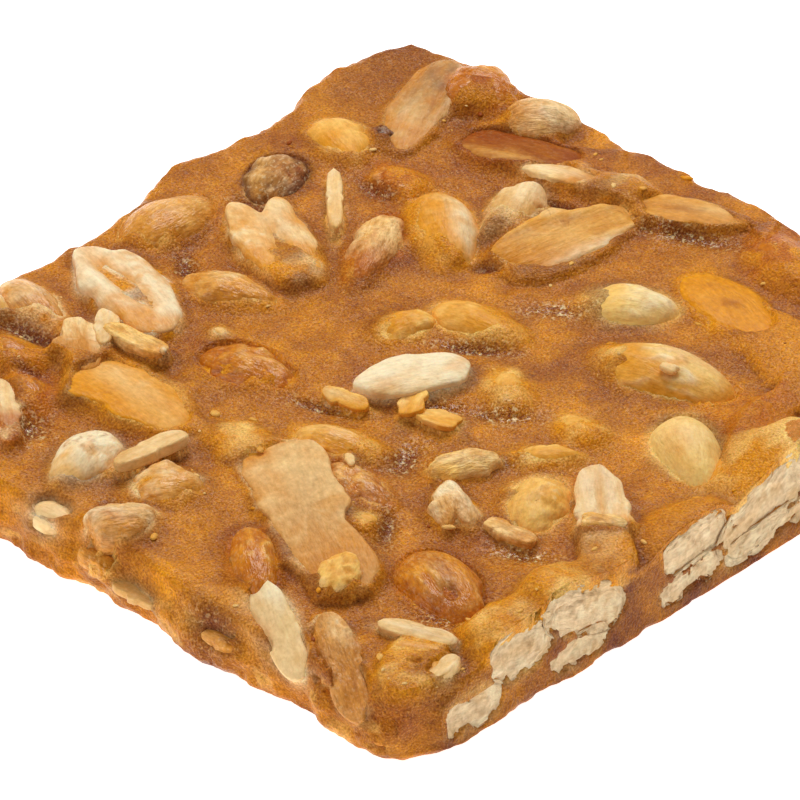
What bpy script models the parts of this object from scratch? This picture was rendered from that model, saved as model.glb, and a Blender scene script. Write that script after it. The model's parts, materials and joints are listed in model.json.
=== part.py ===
"""Nut brittle piece: set caramel with peanuts, broken halves and thin nut slices sunk in it.

Metres, +Z up, lying flat. The origin is on the underside, in the middle of the slab.
The +X side is a knife cut that goes through the nuts; the other three sides are the
rounded, uneven rim of the poured sheet.
"""
import math
import random
from collections import namedtuple

import bmesh
import bpy
from mathutils import Matrix, Vector, noise
from mathutils.bvhtree import BVHTree

MM = 0.001

# Driving dimensions, all in millimetres
LENGTH = 104.0          # slab along Y
BACK_LEFT = -50.6       # X of the rough side at the +Y end
FRONT_LEFT = -47.4      # X of the rough side at the -Y end
BACK_CUT = 50.0         # X of the knife cut at the +Y end
FRONT_CUT = 44.4        # X of the knife cut at the -Y end
DECK = 8.5              # usual height of the caramel between the nuts
SWELL = 0.35            # slow rise and fall of the deck
LAP = 0.3               # share of a nut's rise that the caramel climbs round it
RIM_DROP = 1.7          # how far the deck falls at the rough rim
CUT_DROP = 0.35         # the same at the knife cut
RIM_REACH = 4.5         # how far in from the side the fall starts
WANDER = 0.4            # in and out of the rough rim
CUT_LEAN = 0.9          # how much further out the foot of the cut stands than its top
CORNER_POWER = 18       # a higher power makes squarer corners
GRID = 12               # deck squares each way
AROUND = 9              # corners of a nut's outline
AROUND_SMALL = 8        # the same for a nut shorter than SMALL
SMALL = 11.0
RINGS = 4               # bands from a nut's top to its bottom
GAP = 0.3               # clearance between a nut and its pocket
FLOOR = 1.1             # no nut reaches lower than this

# Height of each form as a share of its width
THICKNESS = {"kernel": 0.88, "half": 0.52, "chip": 0.2, "chunk": 0.72, "cut": 0.8}

# Colour and roughness of each finish
FINISHES = {
    "caramel": ((0.52, 0.25, 0.06), 0.38),
    "pale_nut": ((0.85, 0.70, 0.44), 0.55),
    "golden_nut": ((0.80, 0.50, 0.14), 0.4),
    "amber_nut": ((0.62, 0.32, 0.09), 0.38),
    "dark_nut": ((0.36, 0.16, 0.08), 0.4),
    "scorched_nut": ((0.40, 0.30, 0.20), 0.6),
    "crusted_nut": ((0.74, 0.50, 0.24), 0.6),
    "nut_slice": ((0.76, 0.56, 0.32), 0.45),
    "cut_nut": ((0.78, 0.70, 0.56), 0.7),
}

# One nut: its place, how far its top stands above the deck, its size in millimetres,
# and its heading, pitch and roll in degrees
Nut = namedtuple("Nut", "name form finish x y rise length width heading pitch roll",
                 defaults=(0.0, 0.0))

NUTS = [
    # back left
    Nut("half_far_left", "half", "pale_nut", -37.2, 40.2, 1.5, 21.0, 8.6, -65, 0, 6),
    Nut("kernel_far_rim", "kernel", "crusted_nut", -23.4, 47.0, 3.0, 10.4, 8.0, 42),
    Nut("slice_brown", "chip", "nut_slice", -21.3, 40.2, 1.3, 16.0, 8.4, 24, 0, -8),
    Nut("slice_pale_back", "chip", "nut_slice", -11.7, 39.6, 2.0, 11.8, 5.4, 16, 0, -14),
    Nut("slice_ragged", "chip", "nut_slice", 3.2, 43.9, 1.5, 13.0, 6.8, 27, 0, -6),
    Nut("chunk_cream", "chunk", "pale_nut", -12.9, 30.6, 2.3, 13.0, 7.8, -66),
    Nut("slice_fan", "chip", "nut_slice", -3.6, 30.4, 2.2, 18.0, 9.0, 78, 0, 12),
    Nut("kernel_crowned", "kernel", "golden_nut", -16.1, 21.4, 2.5, 18.8, 9.4, -38),
    Nut("chunk_golden_left", "chunk", "golden_nut", -39.2, 27.2, 1.7, 12.6, 7.2, -22),
    Nut("kernel_scorched", "kernel", "scorched_nut", -39.2, 15.4, 2.0, 11.8, 8.8, -72),
    Nut("kernel_flaky", "kernel", "crusted_nut", -19.7, 12.6, 1.9, 16.8, 6.8, -61),
    # left middle
    Nut("half_open", "half", "pale_nut", -28.8, 4.9, 2.1, 21.0, 10.2, -25, 0, -6),
    Nut("kernel_left_rim", "kernel", "amber_nut", -42.2, -0.4, 2.4, 16.4, 9.6, 86),
    Nut("kernel_under_film", "kernel", "amber_nut", -26.2, -5.6, 1.9, 13.8, 7.0, 18),
    Nut("half_hollow", "half", "pale_nut", -34.6, -14.6, 2.3, 20.6, 10.6, -17, 0, -5),
    Nut("half_domed_left", "kernel", "amber_nut", -41.4, -24.4, 2.1, 13.4, 7.2, -14),
    Nut("kernel_rough", "kernel", "amber_nut", -13.8, -15.2, 1.7, 14.4, 8.8, 10),
    Nut("slice_upright", "chip", "nut_slice", -30.8, -26.4, 1.9, 11.6, 5.0, -40, 0, -16),
    Nut("slice_wide_left", "chip", "nut_slice", -19.2, -29.4, 1.5, 18.0, 10.4, -3, 0, -9),
    # centre
    Nut("seed_white", "half", "pale_nut", 2.9, -4.1, 2.3, 14.0, 7.8, 62),
    Nut("kernel_split_tip", "kernel", "golden_nut", -5.8, 3.4, 1.8, 8.8, 5.8, 74),
    Nut("kernel_golden_mid", "kernel", "golden_nut", 0.2, 9.9, 1.9, 14.0, 7.0, 8),
    Nut("kernel_coated_front", "kernel", "amber_nut", 5.0, -19.2, 1.7, 13.0, 6.4, 16),
    Nut("kernel_red", "kernel", "dark_nut", 12.7, -23.8, 1.7, 12.0, 5.4, -10),
    # right of the centre
    Nut("kernel_flaked_end", "kernel", "golden_nut", 11.4, 25.3, 2.3, 12.4, 9.0, 30),
    Nut("slice_golden_flat", "half", "golden_nut", 20.2, 33.0, 1.1, 16.2, 8.2, -10),
    Nut("kernel_veined", "kernel", "golden_nut", 23.6, 17.6, 2.7, 19.6, 10.2, 14),
    Nut("kernel_clean", "kernel", "pale_nut", 35.6, 8.0, 2.4, 15.2, 8.8, -33),
    Nut("slice_rim_right", "chip", "nut_slice", 38.4, 17.2, 1.6, 10.6, 4.6, -72, 0, -20),
    Nut("kernel_tan", "kernel", "golden_nut", 30.1, -12.0, 2.1, 12.0, 8.4, -60),
    Nut("half_long_pale", "half", "pale_nut", 38.6, -10.3, 2.2, 23.4, 6.4, -43, 0, 4),
    Nut("chunk_flaky", "chunk", "crusted_nut", 24.2, -19.8, 1.9, 11.0, 6.4, -24),
    # front right
    Nut("kernel_ringed", "kernel", "amber_nut", 32.5, -31.0, 2.3, 16.0, 10.0, -20),
    Nut("slice_long", "chip", "nut_slice", 12.7, -32.6, 2.2, 29.0, 9.8, -32, 0, 8),
    Nut("chunk_on_slice", "chunk", "golden_nut", 23.4, -38.4, 2.8, 7.6, 5.0, -62),
    Nut("kernel_front_long", "kernel", "amber_nut", 14.0, -42.8, 1.9, 14.4, 6.0, -38),
    Nut("half_front_pale", "half", "pale_nut", 23.4, -48.8, 1.2, 16.8, 5.0, -25, -14, 24),
    Nut("half_front_brown", "half", "crusted_nut", 33.2, -48.6, 1.1, 17.8, 5.0, -31, -14, 20),
    Nut("half_sunk_corner", "half", "pale_nut", 40.4, -44.2, 1.3, 10.6, 6.6, -62),
    # front left
    Nut("kernel_cream_front", "kernel", "pale_nut", -14.6, -42.0, 2.4, 11.8, 8.0, -76),
    Nut("kernel_round_front", "kernel", "amber_nut", -3.8, -39.2, 2.4, 9.8, 8.4, 50),
    Nut("chunk_crusted_front", "chunk", "crusted_nut", -2.8, -48.0, 2.3, 10.0, 7.0, 55),
    Nut("chunk_front_face", "chunk", "pale_nut", -11.8, -50.2, -0.8, 6.0, 4.6, 0),
    Nut("kernel_front_dark", "kernel", "dark_nut", -29.0, -37.6, 1.8, 9.2, 5.8, -32),
    Nut("half_stick_left", "half", "pale_nut", -27.6, -42.6, 1.5, 14.8, 3.8, -39),
    Nut("kernel_corner_left", "kernel", "golden_nut", -38.8, -36.0, 2.0, 14.0, 7.8, 64),
    Nut("half_corner_left", "half", "pale_nut", -40.2, -46.2, 1.6, 12.6, 7.0, 12),
    # back right corner
    Nut("kernel_back_right", "kernel", "golden_nut", 18.6, 44.6, 2.0, 14.6, 8.0, -28),
    Nut("half_back_right", "half", "pale_nut", 33.0, 44.6, 1.8, 17.0, 8.8, 18),
    Nut("kernel_right_back", "kernel", "amber_nut", 42.6, 35.6, 2.1, 13.6, 7.8, 74),
    Nut("slice_back_right", "chip", "nut_slice", 32.6, 30.8, 1.6, 13.0, 6.4, -24, 0, 10),
    # through the knife cut, top row then bottom row
    Nut("cut_front_low", "cut", "cut_nut", 43.6, -40.8, -2.6, 9.6, 5.8, 88),
    Nut("cut_front_high", "cut", "cut_nut", 43.4, -32.4, 2.2, 10.8, 7.4, 90, 2),
    Nut("cut_middle_high", "cut", "cut_nut", 43.8, -22.0, 3.2, 13.4, 8.0, 88, -24),
    Nut("cut_middle_low", "cut", "cut_nut", 44.8, -23.6, -3.7, 9.8, 6.4, 86, 4),
    Nut("cut_centre_high", "cut", "cut_nut", 45.2, -4.0, 1.4, 11.2, 6.4, 86, 8),
    Nut("cut_centre_low", "cut", "cut_nut", 45.8, -4.8, -3.4, 10.4, 5.8, 86, 8),
    Nut("cut_back_high", "cut", "cut_nut", 44.6, 10.6, 4.0, 21.0, 9.6, 80, 20),
    Nut("cut_back_low", "cut", "cut_nut", 47.0, 8.6, -3.2, 15.4, 5.6, 86, 4),
]


# Lobes of the rough rim: side, place along it, reach along it, and how far out
LOBES = [
    ("left", 38.0, 7.0, 1.5), ("left", 24.0, 4.0, -0.8), ("left", 9.0, 5.0, 1.6),
    ("left", -8.0, 5.0, -1.0), ("left", -24.0, 6.0, 0.8), ("left", -40.0, 7.0, 0.6),
    ("back", -42.0, 7.0, 0.6), ("back", -24.0, 5.0, 1.0), ("back", 6.0, 8.0, 0.9),
    ("back", 30.0, 7.0, 0.5), ("front", -36.0, 7.0, 0.6), ("front", -16.0, 5.0, 0.9),
    ("front", -3.0, 4.0, -0.6), ("front", 18.0, 4.0, 0.8), ("front", 31.0, 5.0, -0.4),
]


def lerp(a, b, t):
    return a + (b - a) * t


def cut_x(y):
    """X of the knife cut, a straight line along the slab."""
    return lerp(FRONT_CUT, BACK_CUT, y / LENGTH + 0.5)


def rim_x(y):
    """X of the rough side opposite the cut."""
    return lerp(FRONT_LEFT, BACK_LEFT, y / LENGTH + 0.5)


def outline_point(s, t):
    """Plan position for s, t in -1..1: a four-sided sheet with rounded corners."""
    reach = max(abs(s), abs(t))
    power = CORNER_POWER
    round_off = 1.0
    if reach > 0.0:
        round_off = reach / (abs(s) ** power + abs(t) ** power) ** (1.0 / power)
    s *= round_off
    t *= round_off
    y = 0.5 * LENGTH * t
    x = lerp(rim_x(y), cut_x(y), 0.5 * (s + 1.0))
    return x, y


def rough_share(s):
    """0 on the knife-cut side, 1 on the other three."""
    return 1.0 - min(1.0, max(0.0, (s - 0.9) / 0.1))


def lobe(side, along):
    """How far the rim stands out at this place along one side."""
    return sum(out * math.exp(-((along - place) / reach) ** 2)
               for name, place, reach, out in LOBES if name == side)


def wander(x, y, salt):
    """Smooth noise of about -1..1 with a wavelength of some 12 mm."""
    return 1.6 * noise.noise(Vector((x / 12.0, y / 12.0, salt)))


def lap(x, y):
    """Rise of the caramel around each nut, a bell over the nut's own ellipse in plan."""
    rise = 0.0
    for nut in NUTS:
        if nut.rise <= 0.0:
            continue
        turn = math.radians(nut.heading)
        dx, dy = x - nut.x, y - nut.y
        along = dx * math.cos(turn) + dy * math.sin(turn)
        across = -dx * math.sin(turn) + dy * math.cos(turn)
        r2 = (along / (0.5 * nut.length + 2.0)) ** 2 + (across / (0.5 * nut.width + 2.0)) ** 2
        rise = max(rise, LAP * nut.rise * math.exp(-r2 * r2))
    return rise


def deck_height(x, y):
    """Top of the caramel: deck, slow swell, laps round the nuts, and the fall at the rim."""
    half = 0.5 * LENGTH
    to_rim = min(half - abs(y), x - rim_x(y))
    to_cut = cut_x(y) - x
    fall = RIM_DROP * max(0.0, 1.0 - to_rim / RIM_REACH) ** 2
    fall = max(fall, CUT_DROP * max(0.0, 1.0 - to_cut / RIM_REACH) ** 2)
    return DECK + SWELL * wander(x, y, 4.2) + lap(x, y) - fall


def material(finish):
    """Plain Principled material for one finish."""
    colour, roughness = FINISHES[finish]
    made = bpy.data.materials.get(finish) or bpy.data.materials.new(finish)
    made.use_nodes = True
    shader = made.node_tree.nodes["Principled BSDF"]
    shader.inputs["Base Color"].default_value = (*colour, 1.0)
    shader.inputs["Roughness"].default_value = roughness
    shader.inputs["Metallic"].default_value = 0.0
    return made


def link_mesh(name, bm, finish, collection):
    """Turn a bmesh in millimetres into an object in metres, shaded smooth."""
    bmesh.ops.recalc_face_normals(bm, faces=bm.faces)
    bmesh.ops.scale(bm, vec=(MM, MM, MM), verts=bm.verts)
    mesh = bpy.data.meshes.new(name)
    bm.to_mesh(mesh)
    bm.free()
    mesh.shade_smooth()
    mesh.set_sharp_from_angle(angle=math.radians(50))
    mesh.materials.append(material(finish))
    made = bpy.data.objects.new(name, mesh)
    collection.objects.link(made)
    return made


def shape_kernel(a, b, c, nut, height):
    """Whole kernel: fuller at one end, a blunt germ tip at the other, a faint seam on top."""
    width = nut.width * (1.0 - 0.16 * a - 0.10 * a * a)
    seam = 0.05 * height * math.exp(-(b / 0.3) ** 2) if c > 0.0 else 0.0
    return 0.5 * nut.length * a, 0.5 * width * b, 0.5 * height * c - seam


def shape_half(a, b, c, nut, height):
    """Split kernel with its flat face up: a shallow trough above, a full dome below."""
    width = nut.width * (1.0 - 0.16 * a - 0.10 * a * a)
    if c > 0.0:
        trough = 0.16 * height * math.exp(-(b / 0.45) ** 2 - (a / 0.8) ** 4)
        z = 0.22 * height * c - trough
    else:
        z = 0.78 * height * c
    return 0.5 * nut.length * a, 0.5 * width * b, z


def shape_chip(a, b, c, nut, height):
    """Thin slice: a lens-like plate, bowed along its length and pointed at one end."""
    width = nut.width * (1.0 - 0.22 * a)
    bow = 0.035 * nut.length * (a * a - 0.3)
    return 0.5 * nut.length * a, 0.5 * width * b, 0.5 * height * c - bow


def shape_plain(a, b, c, nut, height):
    """Plain egg: the start of a broken chunk or of a kernel that the knife goes through."""
    width = nut.width * (1.0 - 0.10 * a)
    return 0.5 * nut.length * a, 0.5 * width * b, 0.5 * height * c


SHAPES = {
    "kernel": shape_kernel,
    "half": shape_half,
    "chip": shape_chip,
    "chunk": shape_plain,
    "cut": shape_plain,
}


def break_facets(bm, nut, rng):
    """Split flat facets off a chunk, as a kernel breaks under a knife."""
    for _ in range(5):
        out = Vector((rng.uniform(-1, 1), rng.uniform(-1, 1), rng.uniform(-0.6, 0.9))).normalized()
        size = Vector((0.5 * nut.length * out.x, 0.5 * nut.width * out.y, 0.36 * nut.width * out.z))
        cut = bmesh.ops.bisect_plane(
            bm, geom=bm.verts[:] + bm.edges[:] + bm.faces[:], dist=0.02,
            plane_co=out * size.length * 0.74, plane_no=out, clear_outer=True)
        edges = [e for e in cut["geom_cut"] if isinstance(e, bmesh.types.BMEdge)]
        if edges:
            bmesh.ops.edgeloop_fill(bm, edges=edges)


def nut_mesh(nut, swollen=0.0):
    """One nut in place, in millimetres; swollen moves its skin outwards, for a pocket."""
    rng = random.Random(nut.name)
    height = THICKNESS[nut.form] * nut.width
    if nut.form == "chip":
        height = max(height, 1.5)
    bm = bmesh.new()
    corners = AROUND_SMALL if nut.length < SMALL else AROUND
    bmesh.ops.create_uvsphere(bm, u_segments=corners, v_segments=RINGS, radius=1.0)
    bmesh.ops.triangulate(bm, faces=bm.faces)
    salt = rng.uniform(0.0, 90.0)
    lump = 0.02 if nut.form == "chip" else 0.045
    for vert in bm.verts:
        a, b, c = vert.co
        swell = 1.0 + lump * 2.0 * noise.noise(vert.co * 1.6 + Vector((salt, 0.0, 0.0)))
        vert.co = Vector(SHAPES[nut.form](a, b, c, nut, height)) * swell
    if nut.form == "chunk":
        break_facets(bm, nut, rng)
    place = (Matrix.Rotation(math.radians(nut.heading), 4, "Z")
             @ Matrix.Rotation(math.radians(-nut.pitch), 4, "Y")
             @ Matrix.Rotation(math.radians(nut.roll), 4, "X"))
    bmesh.ops.transform(bm, matrix=place, verts=bm.verts)
    lift = DECK + nut.rise - max(v.co.z for v in bm.verts)
    bmesh.ops.translate(bm, vec=(nut.x, nut.y, lift), verts=bm.verts)
    for vert in bm.verts:
        vert.co.z = max(vert.co.z, FLOOR)
    if swollen:
        bm.normal_update()
        moved = [v.co + v.normal * swollen for v in bm.verts]
        for vert, co in zip(bm.verts, moved):
            vert.co = co
    return bm


def slice_at_cut(bm):
    """Take away what stands past the knife cut and close the cut face."""
    front = Vector((FRONT_CUT, -0.5 * LENGTH, 0.0))
    back = Vector((BACK_CUT, 0.5 * LENGTH, 0.0))
    up = Vector((-CUT_LEAN, 0.0, DECK))
    front.x += CUT_LEAN
    out = (back - front + Vector((CUT_LEAN, 0.0, 0.0))).cross(up).normalized()
    cut = bmesh.ops.bisect_plane(
        bm, geom=bm.verts[:] + bm.edges[:] + bm.faces[:], dist=0.01,
        plane_co=front, plane_no=out, clear_outer=True)
    edges = [e for e in cut["geom_cut"] if isinstance(e, bmesh.types.BMEdge)]
    if edges:
        bmesh.ops.edgeloop_fill(bm, edges=edges)


def subtract(target, operand):
    """Live Boolean difference of one object, or of every object in a collection."""
    cut = target.modifiers.new(operand.name, "BOOLEAN")
    cut.operation = "DIFFERENCE"
    cut.solver = "EXACT"
    if isinstance(operand, bpy.types.Collection):
        cut.operand_type = "COLLECTION"
        cut.collection = operand
    else:
        cut.object = operand


def as_tree(made):
    """Search tree of an object's own mesh."""
    return BVHTree.FromPolygons([v.co for v in made.data.vertices],
                                [p.vertices for p in made.data.polygons])


def build_nuts(parts, cutters):
    """Every nut, and the slightly larger body that makes its pocket."""
    placed = []
    for nut in NUTS:
        bm = nut_mesh(nut)
        slice_at_cut(bm)
        made = link_mesh(nut.name, bm, nut.finish, parts)
        pocket = link_mesh("pocket_" + nut.name, nut_mesh(nut, GAP * 1.1), nut.finish, cutters)
        pocket.hide_render = True
        pocket.display_type = "WIRE"
        tree = as_tree(made)
        for earlier, earlier_tree in placed:
            if tree.overlap(earlier_tree):
                subtract(made, earlier)
        placed.append((pocket, as_tree(pocket)))


def build_slab(parts, cutters):
    """The caramel: a waved deck, drawn down at the sides to a flat underside."""
    bm = bmesh.new()
    bmesh.ops.create_grid(bm, x_segments=GRID, y_segments=GRID, size=1.0)
    plan = {}
    for vert in bm.verts:
        s, t = vert.co.x, vert.co.y
        x, y = outline_point(s, t)
        side_pull, end_pull = abs(s) ** 8, abs(t) ** 8
        out_left = lobe("left", y) + WANDER * wander(x, y, 1.7)
        out_end = lobe("back" if t > 0.0 else "front", x) + WANDER * wander(x, y, 2.9)
        x -= side_pull * out_left * (s < 0.0)
        y += end_pull * out_end * math.copysign(1.0, t)
        plan[vert] = (s, t)
        vert.co = Vector((x, y, deck_height(x, y)))
    loop = [e for e in bm.edges if e.is_boundary]
    share = {v: rough_share(plan[v][0]) for e in loop for v in e.verts}
    top = {v: v.co.copy() for v in share}
    for fraction, bulge in ((0.6, 0.7), (0.22, 0.5), (0.0, -0.4)):
        drawn = bmesh.ops.extrude_edge_only(bm, edges=loop)["geom"]
        loop = [e for e in drawn if isinstance(e, bmesh.types.BMEdge) and e.is_boundary]
        lower_top, lower_share = {}, {}
        for vert in {v for e in loop for v in e.verts}:
            source = min(top, key=lambda v: (v.co.xy - vert.co.xy).length_squared)
            start = top[source]
            out = Vector((start.x, start.y, 0.0)).normalized()
            push = bulge * share[source]
            lean = CUT_LEAN * (1.0 - share[source]) * (1.0 - fraction)
            vert.co = Vector((start.x + out.x * push + lean, start.y + out.y * push,
                              start.z * fraction))
            lower_top[vert], lower_share[vert] = start, share[source]
        top, share = lower_top, lower_share
    underside = bmesh.ops.edgeloop_fill(bm, edges=loop)["faces"]
    bmesh.ops.poke(bm, faces=underside)
    slab = link_mesh("caramel", bm, "caramel", parts)
    subtract(slab, cutters)


def main():
    for old in list(bpy.data.objects):
        bpy.data.objects.remove(old, do_unlink=True)
    scene = bpy.context.scene
    parts = bpy.data.collections.new("nut_brittle")
    cutters = bpy.data.collections.new("pockets")
    scene.collection.children.link(parts)
    scene.collection.children.link(cutters)
    build_nuts(parts, cutters)
    build_slab(parts, cutters)


main()
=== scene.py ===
# %% [markdown]
# # Nut brittle: set caramel with peanuts sunk in it
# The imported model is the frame: it says where the caramel and each of its 59 nuts lie.
# This lesson measures those solids, then makes every one again as a fine surface, and
# drapes the caramel over them the way hot syrup lies over cold nuts before it sets.

# %% Load the frame
import json
import math
from collections import namedtuple
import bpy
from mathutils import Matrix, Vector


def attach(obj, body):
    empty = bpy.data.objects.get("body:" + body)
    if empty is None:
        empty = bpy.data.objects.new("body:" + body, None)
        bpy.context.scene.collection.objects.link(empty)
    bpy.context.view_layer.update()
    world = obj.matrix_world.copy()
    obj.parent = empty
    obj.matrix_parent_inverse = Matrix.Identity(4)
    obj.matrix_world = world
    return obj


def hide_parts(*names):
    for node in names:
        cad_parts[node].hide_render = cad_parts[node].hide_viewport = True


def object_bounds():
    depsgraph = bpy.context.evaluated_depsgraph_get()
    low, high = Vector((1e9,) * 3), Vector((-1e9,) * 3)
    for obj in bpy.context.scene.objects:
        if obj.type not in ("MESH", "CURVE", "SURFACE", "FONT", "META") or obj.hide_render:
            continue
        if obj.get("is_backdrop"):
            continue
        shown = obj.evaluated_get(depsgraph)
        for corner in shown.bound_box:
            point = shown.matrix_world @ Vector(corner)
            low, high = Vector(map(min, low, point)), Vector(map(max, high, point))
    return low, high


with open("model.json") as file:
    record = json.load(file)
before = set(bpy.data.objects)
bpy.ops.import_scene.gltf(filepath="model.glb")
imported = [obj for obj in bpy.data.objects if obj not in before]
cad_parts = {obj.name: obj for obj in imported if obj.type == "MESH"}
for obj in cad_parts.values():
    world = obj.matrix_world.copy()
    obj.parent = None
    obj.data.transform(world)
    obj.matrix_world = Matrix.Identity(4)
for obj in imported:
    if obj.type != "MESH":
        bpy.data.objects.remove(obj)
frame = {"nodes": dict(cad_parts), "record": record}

from types import SimpleNamespace

import bpy
import numpy as np
from mathutils import Vector

MM = 0.001
cad_low, cad_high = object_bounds()
slot_of = {row["node"]: row["material_slot"] for row in frame["record"]["subparts"]}
print("frame:", len(frame["nodes"]), "nodes,",
      " x ".join(f"{1000 * (h - l):.1f}" for l, h in zip(cad_low, cad_high)), "mm")

# %% [markdown]
# ## Camera
# A long lens from a little under a metre flattens the piece, so its far and near edges
# keep nearly the same length. The camera looks down at 36 degrees over the corner where
# the knife cut meets a rough side.

# %% Camera
CAMERA_AZIMUTH = math.radians(43.25)
CAMERA_ELEVATION = math.radians(36.0)
CAMERA_DISTANCE = 0.9
LENS = 337.4
back = Vector((math.sin(CAMERA_AZIMUTH) * math.cos(CAMERA_ELEVATION),
               -math.cos(CAMERA_AZIMUTH) * math.cos(CAMERA_ELEVATION),
               math.sin(CAMERA_ELEVATION)))
right = Vector((math.cos(CAMERA_AZIMUTH), math.sin(CAMERA_AZIMUTH), 0.0))
above = back.cross(right)
AIM_HEIGHT, AIM_LEFT, AIM_BELOW = 4.0, 2.47, 1.18
target = (Vector((0.0, 0.0, AIM_HEIGHT * MM)) - AIM_LEFT * MM * right
          - AIM_BELOW * MM * above)
camera_data = bpy.data.cameras.new("camera")
camera_data.lens = LENS
camera_data.clip_start, camera_data.clip_end = 0.05, 20.0
camera = bpy.data.objects.new("camera", camera_data)
camera.location = target + back * CAMERA_DISTANCE
camera.rotation_mode = "QUATERNION"
camera.rotation_quaternion = (-back).to_track_quat("-Z", "Y")
bpy.context.scene.collection.objects.link(camera)
bpy.context.scene.camera = camera
print("camera stands at", [round(c, 3) for c in camera.location])

# %% [markdown]
# ## Light and floor
# Food of this kind is lit by large soft boxes on a white sweep. One box hangs behind and
# above, so that the flat caramel shines softly towards the camera; a second fills the
# near sides. The world is a plain near-white that lights the rest.

# %% Light and floor
scene = bpy.context.scene
scene.view_settings.view_transform = "Standard"
world = bpy.data.worlds.new("studio")
world.use_nodes = True
sky = world.node_tree.nodes["Background"]
sky.inputs["Color"].default_value = (1.0, 1.0, 1.0, 1.0)
sky.inputs["Strength"].default_value = 0.32
scene.world = world


def soft_box(name, azimuth, elevation, distance, size, watts, colour=(1.0, 1.0, 1.0)):
    """Square area light on a sphere round the piece, turned to face its middle."""
    a, e = math.radians(azimuth), math.radians(elevation)
    place = distance * Vector((math.sin(a) * math.cos(e), -math.cos(a) * math.cos(e), math.sin(e)))
    lamp = bpy.data.lights.new(name, "AREA")
    lamp.shape, lamp.size, lamp.energy, lamp.color = "SQUARE", size, watts, colour
    box = bpy.data.objects.new(name, lamp)
    box.location = place
    box.rotation_mode = "QUATERNION"
    box.rotation_quaternion = (-place).to_track_quat("-Z", "Y")
    scene.collection.objects.link(box)
    print(f"{name}: {watts} W, {size} m wide, {distance} m away")


soft_box("back_box", 215.0, 52.0, 0.9, 0.5, 5.6)
soft_box("left_fill", -35.0, 40.0, 1.1, 0.6, 3.1)

FLOOR_SIZE, FLOOR_DROP = 6.0, 0.0002
floor_mesh = bpy.data.meshes.new("floor")
h = FLOOR_SIZE / 2
floor_mesh.from_pydata([(-h, -h, 0), (h, -h, 0), (h, h, 0), (-h, h, 0)], [], [(0, 1, 2, 3)])
floor = bpy.data.objects.new("floor", floor_mesh)
floor.location.z = -FLOOR_DROP
scene.collection.objects.link(floor)
floor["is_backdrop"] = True
floor_paint = bpy.data.materials.new("floor_paint")
floor_paint.use_nodes = True
shader = floor_paint.node_tree.nodes["Principled BSDF"]
shader.inputs["Base Color"].default_value = (0.9, 0.9, 0.9, 1.0)
shader.inputs["Roughness"].default_value = 0.9
shader.inputs["Emission Color"].default_value = (1.0, 1.0, 1.0, 1.0)
shader.inputs["Emission Strength"].default_value = 0.95
floor_mesh.materials.append(floor_paint)

# %% [markdown]
# ## Noise
# Nothing in food repeats, so every surface here is shaken by the same tool: random values
# on the corners of a cubic lattice, eased smoothly from corner to corner. Adding finer
# and weaker copies gives lumps with smaller lumps on them.

# %% Noise
def corner_value(i, j, k, salt):
    """Repeatable number in 0..1 for a lattice corner: the last digits of a large sine."""
    wave = np.sin(127.1 * i + 311.7 * j + 74.7 * k + 19.19 * salt) * 43758.5453
    return wave - np.floor(wave)


def noise(p, size, salt=0.0):
    """Value noise in -1..1: the eight corner values round p, weighted by eased distances."""
    q = np.asarray(p, float) / size
    cell = np.floor(q)
    f = q - cell
    f = f * f * (3.0 - 2.0 * f)
    total = 0.0
    for corner in np.ndindex(2, 2, 2):
        weight = 1.0
        for axis, step in enumerate(corner):
            weight = weight * (f[..., axis] if step else 1.0 - f[..., axis])
        at = [cell[..., axis] + step for axis, step in enumerate(corner)]
        total = total + weight * corner_value(*at, salt)
    return 2.0 * total - 1.0


def lumps(p, size, octaves=3, salt=0.0):
    """Sum of noises, each half as large and half as strong as the one before."""
    return sum(noise(p, size / 2 ** n, salt + 7.3 * n) / 2 ** n for n in range(octaves))


def ramp(low, high, value):
    """0 below low, 1 above high, eased between; it also runs the other way."""
    t = np.clip((value - low) / (high - low), 0.0, 1.0)
    return t * t * (3.0 - 2.0 * t)


def mix(a, b, share):
    """Colour a where share is 0 and colour b where it is 1, for each point."""
    return a + (b - a) * np.asarray(share)[..., None]


def paint(r, g, b):
    """Linear colour from ordinary 0-255 screen values."""
    c = np.array([r, g, b], float) / 255.0
    return np.where(c <= 0.04045, c / 12.92, ((c + 0.055) / 1.055) ** 2.4)


# %% [markdown]
# ## Measuring the solids
# Each nut in the frame is a coarse solid. Its volume gives its middle and its own three
# directions (the axes of inertia), its shadow in plan gives an outline, and its highest
# and lowest points give the thickness. A slice is bowed, so a second-degree sheet is
# fitted through it first. From these few numbers the nut can be made again as smoothly
# as needed, and its distance from any point in the caramel can be worked out too.

# %% Read a solid and its moments
def solid(name):
    """Corner points in millimetres and triangles of one CAD node."""
    mesh = frame["nodes"][name].data
    mesh.calc_loop_triangles()
    points = np.empty(len(mesh.vertices) * 3, np.float32)
    mesh.vertices.foreach_get("co", points)
    triangles = np.empty(len(mesh.loop_triangles) * 3, np.int32)
    mesh.loop_triangles.foreach_get("vertices", triangles)
    return points.reshape(-1, 3).astype(float) / MM, triangles.reshape(-1, 3)


def moments(points, triangles):
    """Middle and spread of a closed solid: each triangle and the mean point are a tetrahedron."""
    start = points.mean(0)
    a, b, c = (points[triangles[:, k]] - start for k in range(3))
    share = np.einsum("ni,ni->n", a, np.cross(b, c)) / 6.0
    volume = share.sum()
    total = a + b + c
    middle = (share[:, None] * total).sum(0) / (4.0 * volume)
    second = sum(np.einsum("n,ni,nj->ij", share, m, m) for m in (a, b, c, total)) / 20.0
    return start + middle, second / volume - np.outer(middle, middle)


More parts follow.
